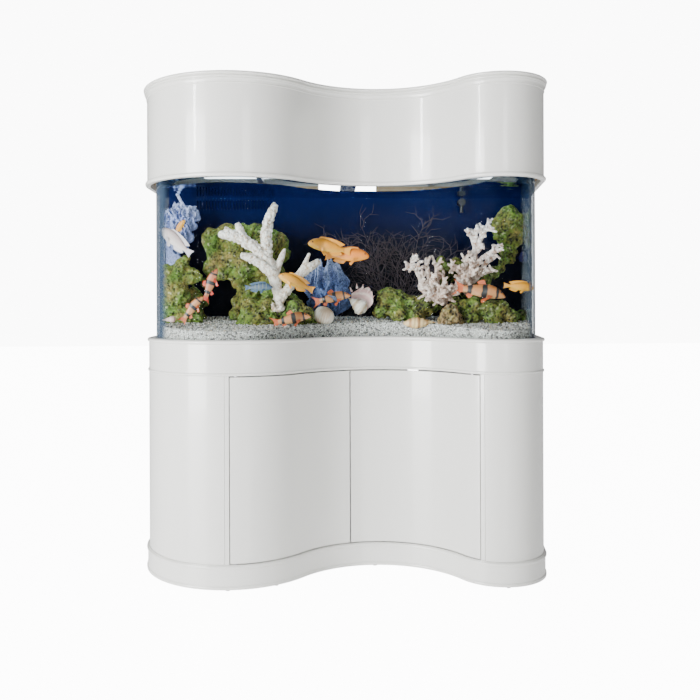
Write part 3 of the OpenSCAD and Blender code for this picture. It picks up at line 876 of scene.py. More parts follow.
def coral_skin(name, root, body, tip, hollow, scale=260.0, depth=0.0016):
    """Coral skeleton: shaded in its hollows and lighter at its tips."""
    f = Finish(name, body, Specular_IOR_Level=0.35)
    relief = f.attribute("relief")
    reach = f.attribute("reach")
    pores = f.cells(scale)
    blotch = f.grain(38.0, 4.0, 0.6)
    skin = f.blend(reach.span(0.0, 0.5), root, body)
    skin = f.blend(reach.span(0.55, 1.0), skin, tip)
    # Painted shade: the hollows take the dark hollow colour
    skin = f.blend(((0.62 - relief) * 2.4 + (blotch - 0.5)).clamped(), skin, hollow)
    f.set(Base_Color=skin, Roughness=pores * 0.2 + 0.55)
    return f.bump(pores * 0.7 + blotch * 0.3, depth)


def leaf_coral(name, low, body, rim):
    """Leafy coral: painted shade, a darker copy of its body colour, lies between its leaves, and it is pale
    along their rims.
    """
    return coral_skin(name, low, body, rim, tuple(c * 0.25 for c in body), 330.0, 0.0012)


def striped_shell(name, ground, stripe, turns):
    f = Finish(name, ground, Specular_IOR_Level=0.5)
    reach = f.attribute("reach")
    blotch = f.grain(46.0, 4.0, 0.6)
    fine = f.grain(260.0, 2.0)
    bands = (reach * turns + blotch * 3.0).math("SINE") * 0.5 + 0.5
    f.set(
        Base_Color=f.blend(bands.span(0.45, 0.95) * 0.75, ground, stripe),
        Roughness=fine * 0.2 + 0.32,
    )
    return f.bump(bands * 0.4 + fine * 0.4 + blotch * 0.4, 0.0012)


def fish_skin(name, back, flank, belly, fins, bands=(), band=(0.01, 0.01, 0.012)):
    """Scaled skin, shaded from back to belly, with upright bands and a dark eye."""
    f = Finish(name, flank, Specular_IOR_Level=0.6, Coat_Weight=0.3, Coat_Roughness=0.2)
    along, high, fin = f.attribute("along"), f.attribute("high"), f.attribute("fin")
    scales = f.cells(420.0)
    skin = f.blend(high.span(0.10, 0.45), belly, flank)
    skin = f.blend(high.span(0.62, 1.0), skin, back)
    skin = f.blend((scales * 0.5).clamped(), skin, tuple(c * 0.45 for c in flank))
    wave = (f.grain(60.0, 2.0) - 0.5) * 0.05
    for middle, half in bands:
        near = ((along + wave - middle).math("ABSOLUTE") * -1 + half).span(0.0, 0.018)
        skin = f.blend(near, skin, band)
    skin = f.blend(fin.span(0.0, 0.15), skin, fins)
    skin = f.blend((along * -1).span(0.4, 0.6), skin, (0.006, 0.006, 0.007))
    f.set(Base_Color=skin, Roughness=scales * 0.2 + 0.3)
    return f.bump(scales, 0.0006)


MAKERS = {
    "white_lacquer": white_lacquer,
    "inside_lacquer": inside_lacquer,
    "plywood": plywood,
    "black_foam": foam,
    "filter_foam": lambda n: foam(n, (0.02, 0.03, 0.05), 260.0),
    "brushed_steel": brushed_steel,
    "satin_aluminium": satin_aluminium,
    "white_plastic": lambda n: moulded_plastic(n, (0.78, 0.78, 0.76), 0.3),
    "grey_plastic": lambda n: moulded_plastic(n, (0.10, 0.10, 0.105), 0.42),
    "black_plastic": lambda n: moulded_plastic(n, (0.012, 0.012, 0.014), 0.34),
    "lamp_diffuser": lamp_diffuser,
    "clear_acrylic": clear_acrylic,
    "water_surface": water_surface,
    "blue_backdrop": blue_backdrop,
    "pale_gravel": pale_gravel,
    "pebble_stone": pebble_stone,
    "mossy_rock": mossy_rock,
    "tan_rock": lambda n: mossy_rock(n, 0.22),
    "violet_rock": lambda n: coral_skin(
        n, (0.02, 0.02, 0.12), (0.07, 0.07, 0.42), (0.14, 0.15, 0.62), (0.01, 0.01, 0.05)
    ),
    "finger_coral": lambda n: coral_skin(
        n, (0.80, 0.74, 0.66), (0.84, 0.80, 0.75), (0.93, 0.92, 0.90), (0.42, 0.27, 0.15)
    ),
    "bushy_coral": lambda n: coral_skin(
        n, (0.42, 0.26, 0.18), (0.80, 0.70, 0.64), (0.95, 0.94, 0.96), (0.36, 0.20, 0.13)
    ),
    "lavender_coral": lambda n: leaf_coral(
        n, (0.14, 0.17, 0.32), (0.30, 0.36, 0.66), (0.66, 0.70, 0.92)
    ),
    "blue_leaf_coral": lambda n: leaf_coral(
        n, (0.03, 0.05, 0.14), (0.16, 0.24, 0.52), (0.58, 0.64, 0.84)
    ),
    "sea_fan": lambda n: moulded_plastic(n, (0.055, 0.040, 0.048), 0.7),
    "cream_shell": lambda n: striped_shell(n, (0.80, 0.74, 0.64), (0.50, 0.33, 0.18), 22.0),
    "pink_shell": lambda n: striped_shell(n, (0.62, 0.40, 0.38), (0.80, 0.66, 0.60), 30.0),
    "tan_shell": lambda n: striped_shell(n, (0.66, 0.50, 0.24), (0.34, 0.16, 0.06), 26.0),
    "yellow_fish": lambda n: fish_skin(
        n, (0.62, 0.24, 0.005), (0.86, 0.36, 0.008), (0.90, 0.50, 0.05), (0.80, 0.34, 0.012)
    ),
    "orange_fish": lambda n: fish_skin(
        n, (0.66, 0.17, 0.004), (0.88, 0.26, 0.006), (0.90, 0.36, 0.02), (0.70, 0.26, 0.02)
    ),
    "blue_fish": lambda n: fish_skin(
        n, (0.02, 0.05, 0.10), (0.04, 0.08, 0.15), (0.12, 0.20, 0.28), (0.03, 0.08, 0.16),
        ((0.22, 0.02), (0.36, 0.02), (0.50, 0.02), (0.64, 0.02)), (0.16, 0.20, 0.16)
    ),
    "pale_fish": lambda n: fish_skin(
        n, (0.72, 0.52, 0.52), (0.80, 0.66, 0.64), (0.86, 0.78, 0.76), (0.66, 0.60, 0.66)
    ),
    "banded_loach": lambda n: fish_skin(
        n, (0.40, 0.13, 0.03), (0.62, 0.24, 0.07), (0.66, 0.36, 0.16), (0.55, 0.10, 0.02),
        ((0.17, 0.035), (0.42, 0.06), (0.70, 0.05))
    ),
    "red_loach": lambda n: fish_skin(
        n, (0.38, 0.09, 0.03), (0.56, 0.16, 0.06), (0.60, 0.28, 0.14), (0.60, 0.05, 0.02),
        ((0.17, 0.035), (0.42, 0.06), (0.70, 0.05))
    ),
}


# ---- Operators ----


class Step(bpy.types.Operator):
    """One step of the build"""

    bl_options = {"REGISTER", "UNDO"}

    def plan(self, context):
        return Plan(context.scene.aquarium_plan)

    def board(self, bm, name, body=ROOT, round_edge=1.2 * MM):
        """A lacquered board that takes the place of the CAD node of its name."""
        obj = soften(to_object(bm, name, finish("white_lacquer")), round_edge)
        return mount(obj, body, "lacquered_board", name.lower())

    def swept(self, outline, stretches):
        bm = bmesh.new()
        sweep(bm, outline, stretches)
        return bm

    def wall(self, plan, outline):
        """An outline drawn along the whole plan and cut off at the back."""
        bm = self.swept(outline, plan.whole())
        trim(bm, (0, plan.back, 0), (0, 1, 0))
        return bm

    def moulding(self, plan, name, outline, body=ROOT, sharp=math.radians(32)):
        obj = to_object(self.wall(plan, outline), name, finish("white_lacquer"), sharp)
        return mount(obj, body, "lacquered_board", name.lower())


class AQUARIUM_OT_stage(Step):
    """Sets the camera, the pale floor and the studio lights"""

    bl_idname = "aquarium.stage"
    bl_label = "Stage"

    def execute(self, context):
        s = context.scene.aquarium_stage
        camera = bpy.data.cameras.new("Camera")
        camera.lens = s.lens
        camera.shift_y = -s.drop
        camera.clip_end = 60
        eye = bpy.data.objects.new("Camera", camera)
        eye.matrix_world = (
            Matrix.Translation(s.eye)
            @ Matrix.Rotation(-s.yaw, 4, "Z")
            @ Matrix.Rotation(math.pi / 2, 4, "X")
            @ Matrix.Rotation(s.roll, 4, "Z")
        )
        context.scene.collection.objects.link(eye)
        context.scene.camera = eye

        self.floor()
        world = bpy.data.worlds.new("Studio")
        context.scene.world = world
        world.use_nodes = True
        self.sky(world.node_tree)
        middle = (-0.1, 0, 0.9)
        self.softbox(context, "Key", (-3.6, -3.2, 1.3), middle, (2.0, 2.6), 430)
        self.softbox(context, "Strip", (-3.75, -3.2, 2.75), (-0.1, -0.1, 1.5), (0.22, 0.9), 55)
        self.softbox(context, "Fill", (1.2, -5.0, 1.6), (0.2, 0, 0.9), (0.9, 2.4), 60)
        return {"FINISHED"}

    def floor(self):
        """A pale, faintly glossy floor that looks as bright as the sky."""
        f = Finish("pale_floor", (0.8, 0.8, 0.8), Specular_IOR_Level=1.0, Emission_Strength=0.7)
        f.set(Roughness=f.grain(2.0, 2.0) * 0.03 + 0.06, Emission_Color=(1, 1, 1, 1))
        glow = f.add("ShaderNodeEmission", {}, {"Color": (1, 1, 1, 1), "Strength": 22.0})
        seen = f.add("ShaderNodeLightPath", {}, {}).value("Is Camera Ray")
        mixed = f.add("ShaderNodeMixShader", {}, {0: seen * 0.55, 1: f.shader.out(), 2: glow.out()})
        f.put(f.end.node, "Surface", mixed.out())
        bm = bmesh.new()
        bmesh.ops.create_grid(bm, x_segments=1, y_segments=1, size=14)
        to_object(bm, "Studio_floor", f.material)

    def sky(self, tree):
        """An even white studio that looks brighter than it shines."""
        back = tree.nodes["Background"]
        back.inputs["Color"].default_value = (1, 1, 1, 1)
        back.inputs["Strength"].default_value = 0.28
        bright = tree.nodes.new("ShaderNodeBackground")
        bright.inputs["Strength"].default_value = 13.0
        path = tree.nodes.new("ShaderNodeLightPath")
        mix = tree.nodes.new("ShaderNodeMixShader")
        tree.links.new(path.outputs["Is Camera Ray"], mix.inputs[0])
        tree.links.new(back.outputs[0], mix.inputs[1])
        tree.links.new(bright.outputs[0], mix.inputs[2])
        tree.links.new(mix.outputs[0], tree.nodes["World Output"].inputs["Surface"])

    def softbox(self, context, name, place, target, size, power):
        light = bpy.data.lights.new(name, "AREA")
        light.shape = "RECTANGLE"
        light.size, light.size_y = size
        light.energy = power
        obj = bpy.data.objects.new(name, light)
        aim = (Vector(target) - Vector(place)).to_track_quat("-Z", "Y")
        obj.matrix_world = Matrix.Translation(place) @ aim.to_matrix().to_4x4()
        context.scene.collection.objects.link(obj)


class AQUARIUM_OT_cabinet(Step):
    """Builds the bent boards and the mouldings of the stand"""

    bl_idname = "aquarium.cabinet"
    bl_label = "Cabinet"

    def execute(self, context):
        plan = self.plan(context)
        thick = 18 * MM

        low, high = level("plinth_skirt")
        bm = self.wall(plan, block((6 * MM - thick, low), (6 * MM, high)))
        left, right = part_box("plinth_skirt")
        add_box(bm, (left.x + thick, plan.back - thick, low), (right.x - thick, plan.back, high))
        self.board(bm, "Plinth_skirt")

        low, high = level("plinth_lower_bead")
        outline = (
            [(5.5 * MM, low), (9.4 * MM, low)]
            + nose(8.4 * MM, 1.6 * MM, low + 1 * MM, low + 10 * MM, 6)
            + cove(5.5 * MM, high, 8 * MM, low + 10.5 * MM, 4)[::-1]
        )
        self.moulding(plan, "Plinth_lower_bead", outline)

        low, high = level("plinth_upper_bead")
        outline = (
            [(-0.5 * MM, low), (7 * MM, low)]
            + nose(7 * MM, 3 * MM, low + 1.5 * MM, high - 2 * MM, 8)
            + [(5 * MM, high - 1.4 * MM), (4.4 * MM, high), (-0.5 * MM, high)]
        )
        self.moulding(plan, "Plinth_upper_bead", outline)

        low, high = level("fascia")
        self.board(self.wall(plan, block((-thick, low), (0, high))), "Fascia")

        low, high = level("door_top_bead")
        outline = [(-0.5 * MM, low)] + nose(0.6 * MM, 3.4 * MM, low, high, 8) + [(-0.5 * MM, high)]
        self.moulding(plan, "Door_top_bead", outline)

        low, high = level("cabinet_rim")
        outline = (
            [(-25 * MM, low)]
            + nose(-1 * MM, 7 * MM, low, high - 0.6 * MM, 10)
            + [(-2.5 * MM, high), (-25 * MM, high)]
        )
        bm = self.wall(plan, outline)
        left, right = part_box("cabinet_rim")
        start = (left.x + 30 * MM, plan.back - 25 * MM, low)
        add_box(bm, start, (right.x - 35 * MM, plan.back, high))
        self.board(bm, "Cabinet_rim", round_edge=0.8 * MM)
        return {"FINISHED"}


class AQUARIUM_OT_doors(Step):
    """Builds the curved doors, the end panels and the stiles between them"""

    bl_idname = "aquarium.doors"
    bl_label = "Doors and End Panels"

    def execute(self, context):
        plan = self.plan(context)
        low, high = level("left_door")
        left_jamb = self.angle_at(plan.left_lobe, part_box("left_door")[0].x)
        right_jamb = self.angle_at(plan.right_lobe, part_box("right_door")[1].x)
        split = math.atan2(plan.split.y - plan.dip_c.y, plan.split.x - plan.dip_c.x)
        over = 30 * MM / plan.dip.radius

        outline = block((-16 * MM, low), (0, high))
        left = [plan.left_lobe.cut(start=left_jamb), plan.dip.cut(stop=split - over)]
        right = [plan.dip.cut(start=split + over), plan.right_lobe.cut(stop=right_jamb)]
        for name, stretches in (("Left_door", left), ("Right_door", right)):
            bm = self.swept(outline, stretches)
            self.meet(bm, plan, name.lower() + "_pivots")
            self.board(bm, name, name.lower())

        base, top = level("left_end_panel")
        strip, joint = 15 * MM, 0.8 * MM
        left_r, right_r = plan.left_lobe.radius, plan.right_lobe.radius
        left_strip = left_jamb - plan.gap / left_r
        right_strip = right_jamb + plan.gap / right_r
        for name, arc in (
            ("Left_stile", plan.left_lobe.cut(left_strip - strip / left_r, left_strip)),
            ("Right_stile", plan.right_lobe.cut(right_strip, right_strip + strip / right_r)),
        ):
            bm = self.swept(block((-30 * MM, base), (0, top)), [arc])
            self.board(bm, name, round_edge=0.8 * MM)

        outline = block((-18 * MM, base), (0, top))
        stop = left_strip - strip / left_r - joint / left_r
        bm = self.swept(outline, [plan.left_side, plan.left_lobe.cut(stop=stop)])
        self.board(bm, "Left_end_panel")
        start = right_strip + strip / right_r + joint / right_r
        bm = self.swept(outline, [plan.right_lobe.cut(start=start), plan.right_side])
        trim(bm, (0, plan.back, 0), (0, 1, 0))
        self.board(bm, "Right_end_panel")
        return {"FINISHED"}

    def meet(self, bm, plan, pivots):
        """Cuts a door's meeting edge square to the line from its pivot."""
        low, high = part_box(pivots)
        way = plan.split - Vector(((low.x + high.x) / 2, (low.y + high.y) / 2, 0))
        way.normalize()
        trim(bm, plan.split - way * plan.gap / 2, way)

    def angle_at(self, arc, x):
        return -math.acos(max(-1.0, min(1.0, (x - arc.centre.x) / arc.radius)))


class AQUARIUM_OT_tank(Step):
    """Builds the bent clear front and sides of the tank"""

    bl_idname = "aquarium.tank"
    bl_label = "Tank"

    def execute(self, context):
        low, high = level("tank_front_wrap")
        bm = self.swept(block((-39 * MM, low), (-27 * MM, high)), self.plan(context).whole())
        trim(bm, (0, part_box("tank_front_wrap")[1].y, 0), (0, 1, 0))
        obj = soften(to_object(bm, "Tank_front_wrap", finish("clear_acrylic")), 0.8 * MM, 2)
        mount(obj, ROOT, "clear_acrylic", "tank_front_wrap")
        return {"FINISHED"}


class AQUARIUM_OT_canopy(Step):
    """Builds the canopy's bent wall, its lower bead and its stepped rim"""

    bl_idname = "aquarium.canopy"
    bl_label = "Canopy"

    def execute(self, context):
        plan = self.plan(context)
        low, high = level("canopy_wall")
        out, thick = 5 * MM, 12 * MM
        bm = self.wall(plan, block((out - thick, low), (out, high)))
        left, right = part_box("canopy_wall")
        notch_x, notch_z = 120 * MM, low + 60 * MM
        for x0, x1, z0 in (
            (left.x + thick, -notch_x, low),
            (-notch_x, notch_x, notch_z),
            (notch_x, right.x - thick * 1.2, low),
        ):
            add_box(bm, (x0, plan.back - thick, z0), (x1, plan.back, high))
        self.board(bm, "Canopy_wall", "canopy", 0.8 * MM)

        sharp = math.radians(28)
        low, high = level("canopy_lower_bead")
        outline = (
            [(4.5 * MM, low), (6 * MM, low)]
            + nose(6.5 * MM, 5.5 * MM, low, high - 3 * MM, 12)
            + [(6.6 * MM, high - 2.4 * MM), (6.2 * MM, high), (4.5 * MM, high)]
        )
        self.moulding(plan, "Canopy_lower_bead", outline, "canopy", sharp)

        low, high = level("canopy_rim")
        outline = (
            [(4.5 * MM, low)]
            + nose(5.5 * MM, 2.0 * MM, low, low + 5 * MM, 6)
            + cove(6.5 * MM, low + 5.5 * MM, 11.0 * MM, low + 17 * MM, 8)
            + [(11.0 * MM, low + 18.6 * MM)]
            + nose(9.5 * MM, 4.5 * MM, low + 19.2 * MM, low + 28 * MM, 9)
            + [(9.2 * MM, low + 29 * MM)]
            + nose(11.0 * MM, 6.0 * MM, low + 29.6 * MM, high - 1.2 * MM, 10)
            + [(11.5 * MM, high), (4.5 * MM, high)]
        )
        self.moulding(plan, "Canopy_rim", outline, "canopy", sharp)
        return {"FINISHED"}


CAD_FINISHES = {
    "black_foam": ("floor_glides", "foam_mat"),
    "filter_foam": ("filter_foam",),
    "inside_lacquer": (
        "floor_board",
        "back_panel",
        "left_divider",
        "right_divider",
        "centre_divider",
    ),
    "white_lacquer": ("canopy_top", "left_lid", "right_lid"),
    "plywood": ("deck", "canopy_ledge"),
    "brushed_steel": ("left_door_pivots", "right_door_pivots", "lid_pins"),
    "satin_aluminium": ("light_bars", "light_housings"),
    "white_plastic": ("latch_bodies",),
    "grey_plastic": ("left_latch_plunger", "right_latch_plunger"),
    "black_plastic": ("heater", "return_pump", "return_pipe", "return_spout"),
    "lamp_diffuser": ("light_diffusers",),
    "clear_acrylic": ("tank_bottom", "tank_brace"),
    "blue_backdrop": ("blue_partition", "chamber_baffles", "tank_back"),
}


class AQUARIUM_OT_fittings(Step):
    """Gives the boards, lights, filter gear and pins their materials"""

    bl_idname = "aquarium.fittings"
    bl_label = "Fittings"

    def execute(self, context):
        for name, nodes in CAD_FINISHES.items():
            for node in nodes:
                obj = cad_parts[node]
                obj.data.materials.clear()
                obj.data.materials.append(finish(name))
        return {"FINISHED"}


# ---- What stands in the tank ----


def at(x, y, z):
    """A place given in millimetres."""
    return Vector((x, y, z)) * MM


class Water:
    """The space inside the tank's panels, down to a little below the top of the gravel."""

    def __init__(self, plan):
        self.plan = plan
        set_in = abs(plan.left_side.a.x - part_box("tank_front_wrap")[0].x)
        self.inset = set_in + 15 * MM
        self.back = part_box("blue_partition")[0].y - 3 * MM
        self.bed_low, self.bed_high = level("gravel_bed")
        self.bed_low += 34 * MM
        self.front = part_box("fascia")[0].y
        self.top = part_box("tank_brace")[0].z - 4 * MM

    def bed(self, y):
        """Height of the gravel."""
        share = (y - self.front) / (self.back + 4 * MM - self.front)
        return self.bed_low + (self.bed_high - self.bed_low) * max(0.0, min(1.0, share))

    def outside(self, p):
        """How far a place lies beyond the inner face of the panels, and the way back in."""
        plan = self.plan
        flat = Vector((p.x, p.y, 0))
        worst, way = 0.0, Vector((0, 0, 0))
        options = [(plan.left_side.a.x + self.inset - p.x, Vector((1, 0, 0)))]
        if p.y < plan.left_c.y and p.x < plan.left_c.x + plan.left_lobe.radius * 0.75:
            away = flat - plan.left_c
            options.append((away.length - plan.left_lobe.radius + self.inset, -away.normalized()))
        away = flat - plan.dip_c
        if plan.left_c.x < p.x < plan.right_c.x:
            options.append((plan.dip.radius + self.inset - away.length, away.normalized()))
        away = flat - plan.right_c
        if p.x > plan.right_c.x and p.y < plan.right_c.y:
            options.append((away.length - plan.right_lobe.radius + self.inset, -away.normalized()))
        if p.y >= plan.right_c.y:
            lean = unit(-plan.lean)
            reach = (flat - plan.right_side.a).dot(lean)
            options.append((reach + self.inset, -lean))
        for depth, back in options:
            if depth > worst:
                worst, way = depth, back
        return worst, way

    def keep(self, obj, sink=12 * MM):
        """Moves what sticks out of the water space back to its edge."""
        for v in obj.data.vertices:
            p = v.co
            for _ in range(2):
                depth, way = self.outside(p)
                if depth > 0:
                    p = p + way * depth
            p.y = min(p.y, self.back)
            p.z = min(max(p.z, self.bed(p.y) - sink), self.top)
            v.co = p
        obj.data.update()
        return obj


def lump(bm, lumps, detail=3):
    """Adds balls given as (x, y, z, radius) in millimetres."""
    for x, y, z, radius in lumps:
        add_ball(bm, at(x, y, z), radius * MM, detail)


def rough(scale, p):
    return noise.fractal(p * scale, 0.9, 2.1, 4)


def crags(p):
    """Large hollows and humps of porous rock, in metres."""
    humps = noise.ridged_multi_fractal(p * 11, 0.9, 2.2, 4, 0.9, 2.0)
    distances, _ = noise.voronoi(p * 34)
    return (humps - 1.1) * 9 * MM - max(0.0, 0.42 - distances[0]) * 34 * MM


def pores(p):
    """Small holes and grit, in metres."""
    distances, _ = noise.voronoi(p * 92)
    near = max(0.0, 0.5 - distances[0])
    return rough(120, p) * 2.4 * MM - near * 11 * MM + rough(45, p) * 2.5 * MM


class Decor(Step):
    """A step that fills the water"""

    def start(self, context):
        self.settings = context.scene.aquarium_tank
        self.water = Water(self.plan(context))
        self.chance = random.Random(self.settings.seed + len(self.bl_idname))

    def settle(self, obj, slot, *nodes):
        self.water.keep(obj)
        return mount(obj, ROOT, slot, *nodes)


class AQUARIUM_OT_water_surface(Decor):
    """Lays the rippled surface of the water, which mirrors the tank when seen from below"""

    bl_idname = "aquarium.water_surface"
    bl_label = "Water Surface"

    def execute(self, context):
        self.start(context)
        plan = self.plan(context)
        height = self.water.top - 22 * MM
        bm = bmesh.new()
        low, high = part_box("tank_bottom")
        bmesh.ops.create_grid(
            bm,
            x_segments=150,
            y_segments=60,
            size=0.5,
            matrix=Matrix.Translation(((low.x + high.x) / 2, (low.y + self.water.back) / 2, 0))
            @ Matrix.Diagonal((high.x - low.x, self.water.back - low.y, 1, 1)),
        )
        for v in bm.verts:
            for _ in range(2):
                depth, way = self.water.outside(v.co)
                if depth > 0:
                    v.co += way * depth
            v.co.z = height + noise.fractal(v.co * 7, 1.0, 2.0, 3) * 1.6 * MM
        bmesh.ops.remove_doubles(bm, verts=bm.verts[:], dist=0.4 * MM)
        skin = bmesh.ops.extrude_face_region(bm, geom=bm.faces[:])["geom"]
        for v in skin:
            if isinstance(v, bmesh.types.BMVert):
                v.co.z += 1 * MM
        bmesh.ops.recalc_face_normals(bm, faces=bm.faces[:])
        mount(to_object(bm, "Water_surface", finish("water_surface"), math.pi), ROOT, "clear_acrylic")
        return {"FINISHED"}


class AQUARIUM_OT_gravel(Decor):
    """Covers the gravel bed with loose grains"""

    bl_idname = "aquarium.gravel"
    bl_label = "Gravel"

    def execute(self, context):
        self.start(context)
        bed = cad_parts["gravel_bed"]
        bed.data.materials.clear()
        bed.data.materials.append(finish("pale_gravel"))
        low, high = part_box("gravel_bed")
        pile = Pile(120, "tone")
        chance, size = self.chance, self.settings.pebble
        laid = 0
        while laid < self.settings.pebbles:
            near = chance.random() ** 1.5
            place = Vector(
                (chance.uniform(low.x, high.x), low.y + (high.y - low.y) * near, 0)
            )
            if self.water.outside(place)[0] > 0:
                continue
            laid += 1
            place.z = self.water.bed(place.y) + size * chance.uniform(-0.1, 0.8)
            way = Vector((chance.random(), 1, chance.random()))
            turn = Matrix.Rotation(chance.uniform(0, math.tau), 3, way)
            shape = [chance.uniform(0.7, 1.3), chance.uniform(0.7, 1.2), chance.uniform(0.45, 0.9)]
            made = add_ball(pile, place, size * chance.uniform(0.7, 1.25), 1, shape, turn)
            tone = pile.batch.verts.layers.float["tone"]
            value = chance.random()
            for v in made:
                v[tone] = value
        bm = pile.done()
        obj = to_object(bm, "Gravel_grains", finish("pebble_stone"), math.pi, flip=False)
        mount(obj, ROOT, "pale_gravel")
        return {"FINISHED"}


# Balls that are fused into each rock, as (x, y, z, radius) in millimetres, and its finish
ROCKS = (
    (
        "Left_rockwork",
        "mossy_rock",
        (
            (-670, 40, 1062, 48), (-648, 50, 1120, 36), (-668, 30, 990, 52), (-622, 30, 935, 48),
            (-604, 45, 1085, 34), (-585, 20, 915, 30), (-700, 60, 1110, 30), (-690, 40, 925, 45),
            (-640, 10, 1020, 40), (-600, 60, 1010, 34), (-690, 90, 1020, 50), (-630, 95, 950, 60),
            (-625, 50, 1150, 20), (-570, 30, 1080, 16),
        ),
    ),
    (
        "Arch_rockwork",
        "mossy_rock",
        (
            (-530, 105, 1225, 52), (-480, 110, 1245, 52), (-420, 110, 1225, 68), (-365, 110, 1255, 42),
            (-325, 115, 1215, 66), (-272, 120, 1222, 40), (-255, 120, 1170, 34), (-510, 100, 1160, 48),
            (-545, 110, 1120, 34), (-455, 100, 1150, 55), (-490, 85, 1098, 34), (-400, 95, 1130, 60),
            (-425, 85, 1060, 42), (-340, 100, 1130, 62), (-290, 110, 1100, 44), (-385, 90, 1010, 60),
            (-425, 80, 985, 36), (-440, 75, 940, 32), (-380, 90, 930, 55), (-310, 100, 1020, 60),
            (-300, 95, 950, 50), (-560, 130, 1060, 26), (-575, 135, 990, 26), (-585, 130, 925, 30),
            (-260, 70, 990, 34), (-235, 80, 1060, 26),
        ),
    ),
    (
        "Middle_rockwork",
        "mossy_rock",
        (
            (-375, -30, 965, 46), (-350, -45, 925, 44), (-400, -25, 920, 36), (-315, -40, 975, 34),
            (-300, -55, 920, 34), (-250, -30, 920, 32), (-205, -30, 955, 42), (-170, -35, 935, 40),
            (-190, -60, 905, 26), (-150, -10, 915, 34), (-225, 20, 990, 34), (-420, -40, 895, 20),
        ),
    ),
    (
        "Right_rockwork",
        "mossy_rock",
        (
            (145, 70, 1000, 44), (190, 75, 985, 48), (235, 75, 965, 52), (290, 75, 965, 46),
            (120, 60, 950, 34), (190, 40, 935, 38), (260, 40, 930, 36), (340, 80, 1040, 46),
            (395, 90, 1100, 42), (360, 100, 1140, 26), (420, 100, 1140, 24), (330, 90, 985, 44),
            (430, -15, 965, 38), (475, -20, 975, 38), (520, -25, 962, 40), (572, -20, 955, 40),
            (612, -20, 928, 34), (400, -10, 985, 28), (455, -30, 920, 40), (545, -30, 915, 40),
            (470, 60, 1040, 52), (520, 80, 1070, 42), (560, 90, 1100, 28), (450, 90, 1110, 38),
            (640, 50, 915, 30), (665, 60, 930, 24),
        ),
    ),
    (
        "Right_peak",
        "mossy_rock",
        (
            (640, 120, 1325, 44), (608, 125, 1300, 38), (676, 120, 1300, 40), (590, 125, 1275, 30),
            (650, 120, 1275, 48), (690, 125, 1255, 28), (620, 120, 1235, 36), (668, 125, 1230, 32),
            (615, 120, 1185, 26), (650, 125, 1185, 26), (612, 115, 1145, 20), (648, 120, 1148, 18),
            (600, 110, 1115, 20), (575, 105, 1090, 22), (705, 130, 1225, 16), (585, 105, 1240, 18),
        ),
    ),
    (
        "Tan_rock",
        "tan_rock",
        (
            (374, -70, 955, 24), (352, -72, 936, 26), (385, -68, 925, 30), (340, -65, 912, 24),
            (402, -66, 905, 22), (368, -70, 905, 28),
        ),
    ),
    (
        "Violet_rock",
        "violet_rock",
        (
            (700, 130, 1172, 22), (690, 135, 1158, 18), (705, 135, 1190, 16),
        ),
    ),
    (
        "Corner_rock",
        "mossy_rock",
        (
            (690, 40, 925, 26), (670, 35, 910, 24), (700, 60, 905, 24),
        ),
    ),
)


class AQUARIUM_OT_rocks(Decor):
    """Builds the porous rocks, with their cave and their hollows"""

    bl_idname = "aquarium.rocks"
    bl_label = "Rocks"

    def execute(self, context):
        self.start(context)
        for name, material, lumps in ROCKS:
            self.boulder(name, material, lumps)
        return {"FINISHED"}

    def boulder(self, name, material, lumps):
        bm = bmesh.new()
        lump(bm, lumps)
        obj = to_object(bm, name, finish(material), math.pi)
        voxel = self.settings.rock_voxel
        fuse(obj, voxel * 1.9)
        weather(obj, crags, "crag")
        fuse(obj, voxel)
        weather(obj, pores)
        nodes = [name.lower()] if name.lower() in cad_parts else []
        return self.settle(obj, "mossy_rock", *nodes)


def chain(bm, points, knobs=None, chance=None):
    """A limb through (x, y, z, radius) points in millimetres, with blunt knobs round it."""
    for (x0, y0, z0, r0), (x1, y1, z1, r1) in zip(points, points[1:]):
        a, b = at(x0, y0, z0), at(x1, y1, z1)
        steps = max(1, round((b - a).length / (min(r0, r1) * 0.5 * MM)))
        aim = (b - a).to_track_quat("Z", "Y")
        for i in range(steps + 1):
            share = i / steps
            radius = (r0 + (r1 - r0) * share) * MM
            place = a.lerp(b, share)
            add_ball(bm, place, radius, 2)
            if knobs is None:
                continue
            size, count, reach = knobs
            start = chance.uniform(0, math.tau)
            for k in range(count):
                turn = start + math.tau * k / count + chance.uniform(-0.3, 0.3)
                out = aim @ (unit(turn) + Vector((0, 0, chance.uniform(0.0, 0.7))))
                add_ball(
                    bm,
                    place + out.normalized() * radius * reach * chance.uniform(0.85, 1.15),
                    size * MM * chance.uniform(0.75, 1.2),
                    1,
                )


def add_petal(bm, root, up, face, height, width, curl, seed):
    """A thin upright leaf with a ruffled rim."""
    up, face = Vector(up).normalized(), Vector(face).normalized()
    side = up.cross(face).normalized()
    face = side.cross(up)
    made = bmesh.ops.create_grid(bm, x_segments=12, y_segments=14, size=0.5)["verts"]
    for v in made:
        u, t = v.co.x * 2, v.co.y + 0.5
        spread = width * (0.25 + 0.75 * math.sin(math.pi * min(1.0, t * 0.62 + 0.06)))
        crown = 1 - 0.30 * u * u * t + 0.06 * math.sin(u * 9 + seed) * t
        ruffle = 0.16 * width * t * t * math.sin(u * 7 + seed * 2.3)
        bend = curl * height * (u * u * 0.5 - 0.25 * t * t) * t + ruffle
        v.co = root + up * height * t * crown + side * spread * u + face * bend
    return made


# Size, number and reach of the knobs round a limb
LARGE_KNOBS = (7.0, 7, 0.92)
SMALL_KNOBS = (5.5, 6, 0.9)
